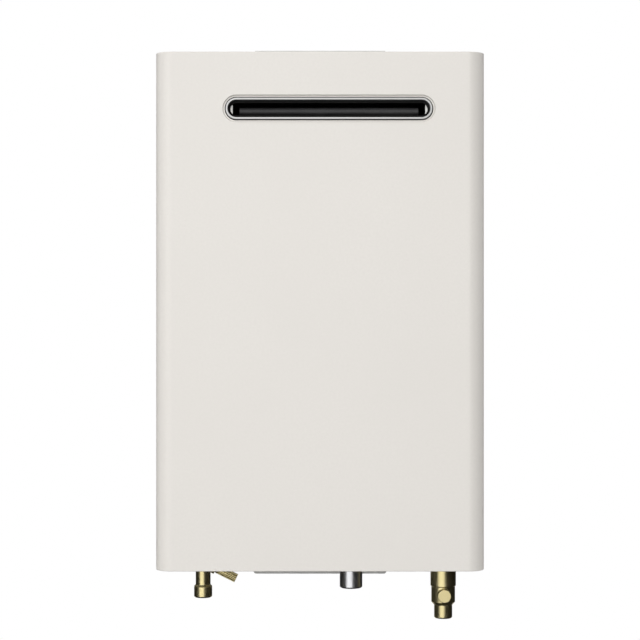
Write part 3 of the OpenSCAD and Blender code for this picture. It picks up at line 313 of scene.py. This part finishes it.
# Painted shade: near black and fully matt, put on the hood's inside and on the gasket to stand for the
# shade deep in the outlet, so that the outlet looks empty
PAINTED_SHADE_BLACK = Finish("painted_shade_black", "#0D0C0C", "#050505", 0.0, (0.85, 0.95), Grain.SPRAYED, 2.0, 0.02, 25.0)


def piece(shape: bmesh.types.BMesh, name: str, body: str, slot: str, stands_for: Sequence[str] = (),
          finish: Finish | None = None) -> None:
    """Turn a bmesh into a finished piece that rides on a body.

    Args:
        shape: The finished shape, in metres, which is freed.
        name: Name of the piece.
        body: CAD body that it rides on.
        slot: Material slot of the record that it belongs to.
        stands_for: CAD nodes that it replaces.
        finish: Finish other than the slot's own.
    """
    finish = finish or FINISHES[slot]
    mesh = bpy.data.meshes.new(name)
    shape.to_mesh(mesh)
    shape.free()
    # A copy's stored normals no longer fit its rounded edges
    stored = mesh.attributes.get("custom_normal")
    if stored:
        mesh.attributes.remove(stored)
    mesh.polygons.foreach_set("use_smooth", [True] * len(mesh.polygons))
    mesh.set_sharp_from_angle(angle=math.radians(SHARP_DEG))
    mesh.materials.append(finish.material())
    made = bpy.data.objects.new(name, mesh)
    bpy.context.scene.collection.objects.link(made)
    # Large flat faces lead the shading, so that a rounded edge doesn't shade the whole panel
    flat = made.modifiers.new("flat_faces_lead", "WEIGHTED_NORMAL")
    flat.keep_sharp = True
    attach(made, body)
    if stands_for:
        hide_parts(*stands_for)
    LOG.info("%s: %d faces on %s, %s", name, len(mesh.polygons), body, finish.name)


def coat(node: str, finish: Finish) -> None:
    """Give a finish to a CAD node that stays.

    Args:
        node: Name of the CAD node.
        finish: Its finish.
    """
    mesh = frame["nodes"][node].data
    mesh.materials.clear()
    mesh.materials.append(finish.material())
    LOG.info("%s: CAD node, %s", node, finish.name)


def merged_copy(node: str) -> bmesh.types.BMesh:
    """Copy a CAD node's mesh, join its loose triangles and drop the edges inside flat faces.

    Args:
        node: Name of the CAD node.

    Returns:
        The copy.
    """
    shape = bmesh.new()
    shape.from_mesh(frame["nodes"][node].data)
    bmesh.ops.remove_doubles(shape, verts=shape.verts, dist=SAME_POINT_MM * MM)
    bmesh.ops.dissolve_limit(shape, angle_limit=math.radians(FLAT_DEG), verts=shape.verts,
                             edges=shape.edges)
    return shape


def soften(shape: bmesh.types.BMesh, width_mm: float, rows: int = 2,
           chosen: Callable[[bmesh.types.BMEdge], bool] | None = None) -> None:
    """Round the corner edges of a shape.

    Args:
        shape: The shape to change.
        width_mm: Width of the rounding.
        rows: Rows of faces across the rounding.
        chosen: Test that an edge has to pass as well.
    """
    edges = [e for e in shape.edges if len(e.link_faces) == 2
             and e.calc_face_angle(0.0) > math.radians(CORNER_DEG) and (chosen is None or chosen(e))]
    bmesh.ops.bevel(shape, geom=edges, offset=width_mm * MM, offset_type="OFFSET", segments=rows,
                    profile=0.5, affect="EDGES", clamp_overlap=False, material=-1)


def facing(direction: Sequence[float], place: Sequence[float]) -> Matrix:
    """Give the transform that turns +Z to a direction and moves to a place.

    Args:
        direction: Direction to face.
        place: Place in metres.

    Returns:
        The transform.
    """
    return Matrix.Translation(place) @ Vector(direction).to_track_quat("Z", "Y").to_matrix().to_4x4()


@dataclass(frozen=True)
class HexScrew:
    """Sheet metal screw with a hexagon head on a washer.

    Attributes:
        flats_mm: Width of the head across its flats.
        head_mm: Height of the head.
        washer_mm: Diameter of the washer.
        washer_t_mm: Thickness of the washer.
        taper: Diameter of the washer's top as a share of its foot.
        edge_mm: Rounding of its edges.
    """

    flats_mm: float = 6.4
    head_mm: float = 3.0
    washer_mm: float = 9.5
    washer_t_mm: float = 0.9
    taper: float = 0.94
    edge_mm: float = 0.25

    def set_of(self, places: Iterable[Vector], direction: Sequence[float]) -> bmesh.types.BMesh:
        """Build screws that face one way.

        Args:
            places: Points under the heads, in metres.
            direction: Way that the heads face.

        Returns:
            The screws in one shape.
        """
        shape = bmesh.new()
        washer = self.washer_t_mm * MM
        head = self.head_mm * MM
        round_r = self.washer_mm * MM / 2
        hex_r = self.flats_mm * MM / math.sqrt(3)
        for place in places:
            seat = facing(direction, place)
            bmesh.ops.create_cone(shape, cap_ends=True, segments=ROUND_SIDES, radius1=round_r,
                                  radius2=round_r * self.taper, depth=washer,
                                  matrix=seat @ Matrix.Translation((0, 0, washer / 2)))
            bmesh.ops.create_cone(shape, cap_ends=True, segments=HEX_SIDES, radius1=hex_r, radius2=hex_r,
                                  depth=head, matrix=seat @ Matrix.Translation((0, 0, washer + head / 2)))
        soften(shape, self.edge_mm)
        return shape


def screws(name: str, places: Iterable[Vector], direction: Sequence[float] = FRONT) -> None:
    """Put screws on the heater.

    Args:
        name: Name of the piece.
        places: Points under the heads, in metres.
        direction: Way that the heads face.
    """
    piece(HexScrew().set_of(places, direction), name, "heater", "screw_steel")


def corner_screws(name: str, node: str, inset_mm: float) -> None:
    """Put a screw near each corner of a node's front.

    Args:
        name: Name of the piece.
        node: CAD node with a flat front.
        inset_mm: Distance of the screws from its edges.
    """
    low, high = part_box(node)
    inset = inset_mm * MM
    screws(name, [Vector((x, low.y, z)) for x in (low.x + inset, high.x - inset)
                  for z in (low.z + inset, high.z - inset)])


@dataclass
class SubAssembly:
    """A group of CAD nodes that belong together.

    Attributes:
        softened: Rounding in mm of the nodes that are copied with rounded edges.
        plain: Nodes that stay as they are.
    """

    softened: dict[str, float] = field(default_factory=dict)
    plain: tuple[str, ...] = ()

    def build(self) -> None:
        """Build the copies with rounded edges."""
        for node, width_mm in self.softened.items():
            shape = merged_copy(node)
            soften(shape, width_mm)
            piece(shape, f"{node}_finished", BODY_OF[node], SLOT_OF[node], [node])

    def dress(self) -> None:
        """Give the nodes that stay the finish of their material slot."""
        for node in self.plain:
            coat(node, FINISHES[SLOT_OF[node]])


@dataclass
class Cabinet(SubAssembly):
    """Front cover, rear case, bezel and wall brackets.

    Attributes:
        bend_mm: Rounding where the cover's front turns into its top and bottom.
        rim_mm: Width of the bezel's rim.
        gap_mm: Gap between the rim and the pressing.
        flange_mm: Reach of the bezel's flange from the opening.
        flange_y_mm: Depth of the flange behind the rim's face.
        gap_shade_ring_mm: Thickness of the black rubber ring in the gap, painted shade that darkens the
            gap.
        bead_w_mm: Width of the beads pressed into the back panel.
        bead_h_mm: Height of the beads.
        bead_len_mm: Length of the beads.
        bead_x_mm: Places of the beads.
        earth_mm: Place of the earth screw under the bottom plate.
    """

    softened: dict[str, float] = field(default_factory=lambda: {"upper_bracket": 0.5, "lower_bracket": 0.5})
    plain: tuple[str, ...] = ("rear_case", "vent_bezel", "bracket_rivets", "cover_screws", "intake_grille",
                              "cable_grommet")
    bend_mm: float = 0.8
    rim_mm: float = 2.4
    gap_mm: float = 1.1
    flange_mm: float = 5.1
    flange_y_mm: float = 3.5
    gap_shade_ring_mm: float = 0.7
    bead_w_mm: float = 14.0
    bead_h_mm: float = 3.0
    bead_len_mm: float = 400.0
    bead_x_mm: tuple[float, ...] = (-120.0, 0.0, 120.0)
    earth_mm: tuple[float, float] = (-100.0, -45.0)

    def build(self) -> None:
        """Build the brackets, the cover sheet, the black ring of painted shade in the bezel's gap, the back
        panel's beads and the earth screw.
        """
        super().build()
        self.cover()
        self.gap_shade_ring()
        self.beads()
        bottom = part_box("rear_case")[0].z
        screws("earth_screw", [Vector((self.earth_mm[0] * MM, self.earth_mm[1] * MM, bottom))], DOWN)

    def cover(self) -> None:
        """Build the cover with rounded ends in place of the CAD's sharp ones."""
        shape = merged_copy("front_cover")
        low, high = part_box("front_cover")
        near = 0.01 * MM
        # Most that an upright face's normal leans up or down, and least that it leans to the front
        most_lean = 0.1
        least_front = 0.005

        def outer_end(edge: bmesh.types.BMEdge) -> bool:
            """Tell whether an edge lies on the outside of the cover's top or bottom end.

            Args:
                edge: An edge of the cover.

            Returns:
                True for such an edge.
            """
            at_end = all(min(abs(v.co.z - low.z), abs(v.co.z - high.z)) < near for v in edge.verts)
            at_side = all(abs(v.co.x) > high.x - near for v in edge.verts)
            at_front = any(abs(f.normal.z) < most_lean and f.normal.y < -least_front
                           for f in edge.link_faces)
            return at_end and (at_side or at_front)

        soften(shape, self.bend_mm, rows=4, chosen=outer_end)
        piece(shape, "cover_sheet", "cover", "cover_paint", ["front_cover"])

    def gap_shade_ring(self) -> None:
        """Build a black rubber ring on the bezel's flange, in the gap beside its rim: painted shade that
        darkens the gap as a shadow would.
        """
        low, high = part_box("vent_bezel")
        middle = (low + high) / 2
        reach = (self.rim_mm + self.gap_mm - self.flange_mm) * MM
        radius = (high.z - low.z) / 2 + reach
        half = (high.x - low.x) / 2 + reach - radius
        sides = 2 * ROUND_SIDES
        turn = Matrix.Rotation(math.pi / 2, 4, "X") @ Matrix.Rotation(math.pi / sides, 4, "Z")
        shape = bmesh.new()
        bmesh.ops.create_circle(shape, cap_ends=True, segments=sides, radius=radius, matrix=turn)
        for side in (-1, 1):
            end = [v for v in shape.verts if v.co.x * side > 0]
            bmesh.ops.translate(shape, verts=end, vec=(side * half, 0, 0))
        bmesh.ops.inset_region(shape, faces=shape.faces, thickness=self.gap_mm * MM, use_boundary=True,
                               use_even_offset=True)
        inside = max(shape.faces, key=lambda f: f.calc_area())
        bmesh.ops.delete(shape, geom=[inside], context="FACES")
        bmesh.ops.solidify(shape, geom=shape.faces, thickness=self.gap_shade_ring_mm * MM)
        bmesh.ops.recalc_face_normals(shape, faces=shape.faces)
        back = max(v.co.y for v in shape.verts)
        place = (middle.x, low.y + self.flange_y_mm * MM - back, middle.z)
        bmesh.ops.translate(shape, verts=shape.verts, vec=place)
        # A black ring as painted shade in the gap round the bezel's rim
        piece(shape, "bezel_gap_shade_ring", "cover", "rubber")

    def beads(self) -> None:
        """Press upright stiffening beads into the back panel, towards the wall."""
        shape = bmesh.new()
        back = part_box("rear_case")[1].y
        half_w = self.bead_w_mm * MM / 2
        reach = self.bead_len_mm * MM / 2 - half_w
        flat = Matrix.Diagonal((1.0, self.bead_h_mm * MM / half_w, 1.0, 1.0))
        for x_mm in self.bead_x_mm:
            middle = Matrix.Translation((x_mm * MM, back, 0.0)) @ flat
            for end in (-1, 1):
                bmesh.ops.create_uvsphere(shape, u_segments=ROUND_SIDES, v_segments=ROUND_SIDES // 2,
                                          radius=half_w,
                                          matrix=middle @ Matrix.Translation((0, 0, end * reach)))
            bmesh.ops.create_cone(shape, segments=ROUND_SIDES, radius1=half_w, radius2=half_w,
                                  depth=2 * reach, matrix=middle)
        bmesh.ops.bisect_plane(shape, geom=[*shape.verts, *shape.edges, *shape.faces],
                               plane_co=(0, back, 0), plane_no=(0, 1, 0), clear_inner=True)
        piece(shape, "back_panel_beads", "heater", "case_steel")


@dataclass
class Flue(SubAssembly):
    """Exhaust hood, its gasket, the deflector bar and a black sheet of painted shade inside the hood.

    Attributes:
        shade_sheet_gap_mm: Distance of the black sheet of painted shade from the hood's outside.
        shade_sheet_mm: Thickness of that sheet.
    """

    softened: dict[str, float] = field(default_factory=lambda: {"exhaust_deflector": 0.3})
    plain: tuple[str, ...] = ("exhaust_hood",)
    shade_sheet_gap_mm: float = 1.5
    shade_sheet_mm: float = 0.2

    def build(self) -> None:
        """Build the deflector, and the black sheet of painted shade inside the hood that stands for the
        shade there.
        """
        super().build()
        low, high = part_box("exhaust_hood")
        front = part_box("heat_exchanger_shell")[0].y
        gap = self.shade_sheet_gap_mm * MM
        inner_low = Vector((low.x + gap, front + gap, low.z))
        inner_high = Vector((high.x - gap, high.y - gap, high.z - gap))
        middle = Matrix.Translation((inner_low + inner_high) / 2)
        spread = Matrix.Diagonal((*(inner_high - inner_low), 1.0))
        shape = bmesh.new()
        bmesh.ops.create_cube(shape, size=1.0, matrix=middle @ spread)
        # The hood is open to the front and below
        open_sides = [f for f in shape.faces if -1 in (round(f.normal.y), round(f.normal.z))]
        bmesh.ops.delete(shape, geom=open_sides, context="FACES")
        bmesh.ops.solidify(shape, geom=shape.faces, thickness=self.shade_sheet_mm * MM)
        bmesh.ops.recalc_face_normals(shape, faces=shape.faces)
        # Near-black painted shade lining the hood, where the outlet's inside is only in shade
        piece(shape, "hood_painted_shade_sheet", "heater", "flue_steel", finish=PAINTED_SHADE_BLACK)

    def dress(self) -> None:
        """Dress the hood in its own steel, and the gasket round the outlet in near-black painted shade: a
        dark part made darker still to stand for the shade inside the outlet.
        """
        super().dress()
        # The gasket is dark in itself, and painted darker as shade
        coat("flue_gasket", PAINTED_SHADE_BLACK)


@dataclass
class HeatCell(SubAssembly):
    """Heat exchanger, burner and fan.

    Attributes:
        flange_mm: Reach of the flanges between burner, heat exchanger and hood.
        flange_t_mm: Thickness of those flanges.
        motor_ring_mm: Radius on which the motor's screws sit.
        motor_screws: Number of the motor's screws.
        motor_start: Turn of the first of them, as a share of the step between two.
        lug_mm: Distance of the manifold's screws from its ends.
        seam_screws: Number of screws along a seam of the stack.
        seam_mm: Distance of those screws from the seam.
        seam_end_mm: Distance of the outer ones from the stack's sides.
    """

    softened: dict[str, float] = field(default_factory=lambda: {
        "heat_exchanger_shell": 0.4, "burner_box": 0.4, "gas_manifold": 0.6, "spark_module": 1.2,
        "fan_motor": 0.8, "overheat_switch": 0.4})
    plain: tuple[str, ...] = (
        "heat_exchanger_fins", "heat_exchanger_tubes", "burner_bars", "gas_nozzles", "igniter_electrodes",
        "flame_rod", "stack_brackets", "fan_housing", "fan_impeller", "fan_shaft")
    flange_mm: float = 4.0
    flange_t_mm: float = 2.0
    motor_ring_mm: float = 20.0
    motor_screws: int = 3
    motor_start: float = 0.25
    lug_mm: float = 5.0
    seam_screws: int = 4
    seam_mm: float = 7.0
    seam_end_mm: float = 18.0

    def build(self) -> None:
        """Build the rounded copies, the flanges and the screws."""
        super().build()
        for node in ("burner_box", "heat_exchanger_shell"):
            self.flange(node)
        self.seams()
        self.manifold()
        self.motor()

    def flange(self, node: str) -> None:
        """Build the sheet flange round a node's upper edge.

        Args:
            node: CAD node with a rectangular plan.
        """
        low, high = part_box(node)
        middle = (low + high) / 2
        reach = self.flange_mm * MM
        size = high - low
        shape = bmesh.new()
        spread = Matrix.Diagonal((size.x + 2 * reach, size.y + 2 * reach, 1.0, 1.0))
        bmesh.ops.create_grid(shape, x_segments=1, y_segments=1, size=0.5,
                              matrix=Matrix.Translation((middle.x, middle.y, high.z)) @ spread)
        bmesh.ops.inset_region(shape, faces=shape.faces, thickness=reach, use_boundary=True,
                               use_even_offset=True)
        inside = min(shape.faces, key=lambda f: (f.calc_center_median() - middle).xy.length)
        bmesh.ops.delete(shape, geom=[inside], context="FACES")
        raised = bmesh.ops.extrude_face_region(shape, geom=shape.faces)["geom"]
        verts = [v for v in raised if isinstance(v, bmesh.types.BMVert)]
        bmesh.ops.translate(shape, verts=verts, vec=(0, 0, self.flange_t_mm * MM))
        bmesh.ops.recalc_face_normals(shape, faces=shape.faces)
        piece(shape, f"{node}_flange", "heater", "flue_steel")

    def seams(self) -> None:
        """Build the screws that hold the hood and the burner box to the heat exchanger."""
        low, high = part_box("heat_exchanger_shell")
        first = low.x + self.seam_end_mm * MM
        step = (high.x - self.seam_end_mm * MM - first) / (self.seam_screws - 1)
        levels = (low.z - self.seam_mm * MM, high.z + self.seam_mm * MM)
        screws("seam_screws", [Vector((first + i * step, low.y, z)) for i in range(self.seam_screws)
                               for z in levels])

    def manifold(self) -> None:
        """Build the screws at the ends of the gas manifold."""
        low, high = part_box("gas_manifold")
        level = (low.z + high.z) / 2
        lug = self.lug_mm * MM
        screws("manifold_screws", [Vector((x, low.y, level)) for x in (low.x + lug, high.x - lug)])

    def motor(self) -> None:
        """Build the ring of screws on the fan motor."""
        low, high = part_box("fan_shaft")
        axis = (low + high) / 2
        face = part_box("fan_motor")[0].y
        ring = self.motor_ring_mm * MM
        turns = [math.tau * (i + self.motor_start) / self.motor_screws for i in range(self.motor_screws)]
        screws("motor_screws", [Vector((axis.x + ring * math.cos(t), face, axis.z + ring * math.sin(t)))
                                for t in turns])


@dataclass
class Pipework(SubAssembly):
    """Water and gas ends below the cabinet and the pipes inside it.

    Attributes:
        nut_mm: Length of a union nut.
        nut_flats_mm: Width of a union nut across its flats.
        nut_edge_mm: Rounding of its edges.
        valve_inset_mm: Distance of the valve's screws from its edges.
    """

    softened: dict[str, float] = field(default_factory=lambda: {
        "hot_outlet_fitting": 0.3, "cold_inlet_fitting": 0.3, "gas_inlet_nipple": 0.3,
        "hot_drain_plug": 0.3, "cold_drain_plug": 0.3, "flow_sensor_body": 0.5, "gas_valve_body": 0.6,
        "gas_solenoid_coil": 0.6})
    plain: tuple[str, ...] = (
        "hot_plug_seal", "hot_pipe", "cold_plug_seal", "inlet_strainer", "flow_turbine", "flow_axle",
        "cold_pipe", "pipe_clips", "water_thermistors", "gas_valve_plunger", "plunger_spring", "gas_pipe")
    nut_mm: float = 13.0
    nut_flats_mm: float = 20.0
    nut_edge_mm: float = 0.5
    valve_inset_mm: float = 6.5

    def build(self) -> None:
        """Build the turned ends, the plugs, the valve's screws and the union nuts on the pipes."""
        super().build()
        corner_screws("valve_screws", "gas_valve_body", self.valve_inset_mm)
        hot_low, hot_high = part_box("hot_pipe")
        cold_low, cold_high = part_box("cold_inlet_fitting")
        gas_low, gas_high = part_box("gas_pipe")
        cold = (cold_low + cold_high) / 2
        hot_x = hot_low.x + (hot_high.y - hot_low.y) / 2
        hot_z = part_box("hot_outlet_fitting")[1].z
        cold_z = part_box("flow_sensor_body")[1].z
        gas_x = (gas_low.x + gas_high.x) / 2
        gas_r = (gas_high.x - gas_low.x) / 2
        gas_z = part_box("gas_manifold")[0].z - self.nut_mm * MM
        self.nut("hot_union_nut", (hot_x, cold.y, hot_z), UP)
        self.nut("cold_union_nut", (cold.x, cold.y, cold_z), UP)
        self.nut("gas_union_nut", (gas_x, gas_low.y + gas_r, gas_z), UP)
        self.nut("valve_union_nut", (gas_x, gas_high.y, gas_low.z + gas_r), FRONT)

    def nut(self, name: str, place: Sequence[float], direction: Sequence[float]) -> None:
        """Build a hexagon union nut round a pipe.

        Args:
            name: Name of the piece.
            place: Middle of its first end, in metres.
            direction: Way that it runs.
        """
        shape = bmesh.new()
        length = self.nut_mm * MM
        radius = self.nut_flats_mm * MM / math.sqrt(3)
        bmesh.ops.create_cone(shape, cap_ends=True, segments=HEX_SIDES, radius1=radius, radius2=radius,
                              depth=length,
                              matrix=facing(direction, place) @ Matrix.Translation((0, 0, length / 2)))
        soften(shape, self.nut_edge_mm)
        piece(shape, name, "heater", "brass")


@dataclass
class Controls(SubAssembly):
    """Control box with its board.

    Attributes:
        inset_mm: Distance of the lid's screws from its edges.
    """

    softened: dict[str, float] = field(default_factory=lambda: {"control_box": 0.8, "control_box_lid": 0.8})
    plain: tuple[str, ...] = ("control_board", "board_parts", "board_screws", "wiring_loom")
    inset_mm: float = 8.0

    def build(self) -> None:
        """Build the box, its lid and the lid's screws."""
        super().build()
        corner_screws("lid_screws", "control_box_lid", self.inset_mm)


@dataclass(frozen=True)
class Softbox:
    """Rectangular soft light that looks at the cabinet.

    Attributes:
        name: Name of the light.
        turn_deg: Turn to the right of the camera's side.
        rise_deg: Height above level.
        far_mm: Distance.
        size_mm: Width and height.
        watts: Power.
        reach: Kind of surface that it shows on.
    """

    name: str
    turn_deg: float
    rise_deg: float
    far_mm: float
    size_mm: tuple[float, float]
    watts: float
    reach: Reach

    def hang(self) -> None:
        """Hang the light in its place, unseen by the camera."""
        data = bpy.data.lights.new(self.name, "AREA")
        data.shape = "RECTANGLE"
        data.size = self.size_mm[0] * MM
        data.size_y = self.size_mm[1] * MM
        data.energy = self.watts
        lamp = bpy.data.objects.new(self.name, data)
        turn = math.radians(self.turn_deg)
        rise = math.radians(self.rise_deg)
        level = math.cos(rise)
        away = Vector((math.sin(turn) * level, -math.cos(turn) * level, math.sin(rise)))
        lamp.location = away * self.far_mm * MM
        lamp.rotation_euler = away.to_track_quat("Z", "Y").to_euler()
        lamp.visible_diffuse, lamp.visible_glossy = self.reach.value
        lamp.visible_camera = False
        bpy.context.scene.collection.objects.link(lamp)


# A large light and a low one behind for shiny surfaces, and lights from above and all round for matt ones
LIGHTS = (
    Softbox("key", -18.0, 8.0, 3000.0, (3500.0, 3400.0), 75.0, Reach.GLOSS),
    Softbox("sky", -18.0, 34.0, 10000.0, (9300.0, 7300.0), 660.0, Reach.MATT),
    Softbox("fill", 14.0, -12.0, 2800.0, (2400.0, 2400.0), 22.0, Reach.MATT),
    Softbox("left", -86.0, 5.0, 2200.0, (1600.0, 2000.0), 15.0, Reach.MATT),
    Softbox("right", 114.0, 5.0, 2200.0, (1600.0, 2000.0), 15.0, Reach.MATT),
    Softbox("top", 0.0, 84.0, 2200.0, (1600.0, 1600.0), 9.0, Reach.MATT),
    Softbox("back", 180.0, 30.0, 3000.0, (2600.0, 2200.0), 30.0, Reach.MATT),
    Softbox("under", 180.0, -55.0, 2600.0, (2200.0, 2200.0), 20.0, Reach.MATT),
    Softbox("back_low", 180.0, -32.0, 3000.0, (4200.0, 900.0), 12.0, Reach.GLOSS),
)


@dataclass
class Studio:
    """White floor and backdrop, soft lights and the camera.

    Attributes:
        eye_mm: Place of the camera.
        lens_mm: Focal length.
        sensor_mm: Width of the camera's sensor.
        floor_mm: Height of the floor.
        floor_side_mm: Side of the floor.
        ceiling_from: Rise at which the pale ceiling starts to show in shiny surfaces.
        ceiling_to: Rise at which it shows in full.
        wall_glow: Light of the dark walls in shiny surfaces.
        ceiling_glow: Light of the ceiling in them.
        matt_glow: Light from all round on matt surfaces.
    """

    eye_mm: tuple[float, float, float] = (0.0, -2180.0, -9.6)
    lens_mm: float = 99.17
    sensor_mm: float = 36.0
    floor_mm: float = -460.0
    floor_side_mm: float = 12000.0
    ceiling_from: float = 0.2
    ceiling_to: float = 0.7
    wall_glow: float = 0.008
    ceiling_glow: float = 0.6
    matt_glow: float = 0.22

    def camera(self) -> None:
        """Place the camera level with the cabinet's middle."""
        data = bpy.data.cameras.new("camera")
        data.lens = self.lens_mm
        data.sensor_width = self.sensor_mm
        eye = bpy.data.objects.new("camera", data)
        eye.location = [v * MM for v in self.eye_mm]
        eye.rotation_euler = (math.pi / 2, 0.0, 0.0)
        bpy.context.scene.collection.objects.link(eye)
        bpy.context.scene.camera = eye

    def floor(self) -> None:
        """Lay a plain white floor that only the camera sees, and only from above."""
        shape = bmesh.new()
        bmesh.ops.create_grid(shape, x_segments=1, y_segments=1, size=self.floor_side_mm * MM / 2)
        bmesh.ops.translate(shape, verts=shape.verts, vec=(0, 0, self.floor_mm * MM))
        mesh = bpy.data.meshes.new("floor")
        shape.to_mesh(mesh)
        shape.free()
        # White paper: evenly bright, so that it runs into the backdrop without an edge
        paper = bpy.data.materials.new("white_paper")
        paper.use_nodes = True
        tree = paper.node_tree
        tree.nodes.clear()
        glow = add(tree, "ShaderNodeEmission", {}, {"Color": WHITE, "Strength": 1.0})
        clear = add(tree, "ShaderNodeBsdfTransparent")
        under = add(tree, "ShaderNodeNewGeometry").outputs["Backfacing"]
        mixed = add(tree, "ShaderNodeMixShader", {}, {0: under, 1: glow.outputs[0], 2: clear.outputs[0]})
        add(tree, "ShaderNodeOutputMaterial", {}, {"Surface": mixed.outputs[0]})
        mesh.materials.append(paper)
        made = bpy.data.objects.new("floor", mesh)
        for kind in ("diffuse", "glossy", "transmission", "volume_scatter", "shadow"):
            setattr(made, f"visible_{kind}", False)
        bpy.context.scene.collection.objects.link(made)

    def backdrop(self) -> None:
        """Make the surroundings white to the camera and dim to everything else."""
        world = bpy.data.worlds.new("studio")
        bpy.context.scene.world = world
        world.use_nodes = True
        tree = world.node_tree
        tree.nodes.clear()
        rays = add(tree, "ShaderNodeLightPath")
        way = add(tree, "ShaderNodeTexCoord").outputs["Generated"]
        rise = add(tree, "ShaderNodeSeparateXYZ", {}, {0: way}).outputs["Z"]
        # Shiny surfaces show a dark room with a pale ceiling
        room = add(tree, "ShaderNodeMapRange", {"interpolation_type": "SMOOTHSTEP"}, {
            "Value": rise, "From Min": self.ceiling_from, "From Max": self.ceiling_to,
            "To Min": self.wall_glow, "To Max": self.ceiling_glow})
        dim = add(tree, "ShaderNodeBackground", {}, {"Color": WHITE, "Strength": self.matt_glow})
        dark = add(tree, "ShaderNodeBackground", {}, {"Color": WHITE, "Strength": room.outputs[0]})
        white = add(tree, "ShaderNodeBackground", {}, {"Color": WHITE, "Strength": 1.0})
        matt = add(tree, "ShaderNodeMixShader", {}, {
            0: rays.outputs["Is Glossy Ray"], 1: dim.outputs[0], 2: dark.outputs[0]})
        seen = add(tree, "ShaderNodeMixShader", {}, {
            0: rays.outputs["Is Camera Ray"], 1: matt.outputs[0], 2: white.outputs[0]})
        add(tree, "ShaderNodeOutputWorld", {}, {"Surface": seen.outputs[0]})

    def build(self) -> None:
        """Build the whole studio."""
        bpy.context.scene.view_settings.view_transform = "Standard"
        self.camera()
        self.floor()
        self.backdrop()
        for light in LIGHTS:
            light.hang()


def main() -> None:
    """Build the studio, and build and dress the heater."""
    logging.basicConfig(level=logging.INFO, format="%(name)s: %(message)s")
    Studio().build()
    for group in (Cabinet(), Flue(), HeatCell(), Pipework(), Controls()):
        group.build()
        group.dress()


if __name__ == "__main__":
    main()
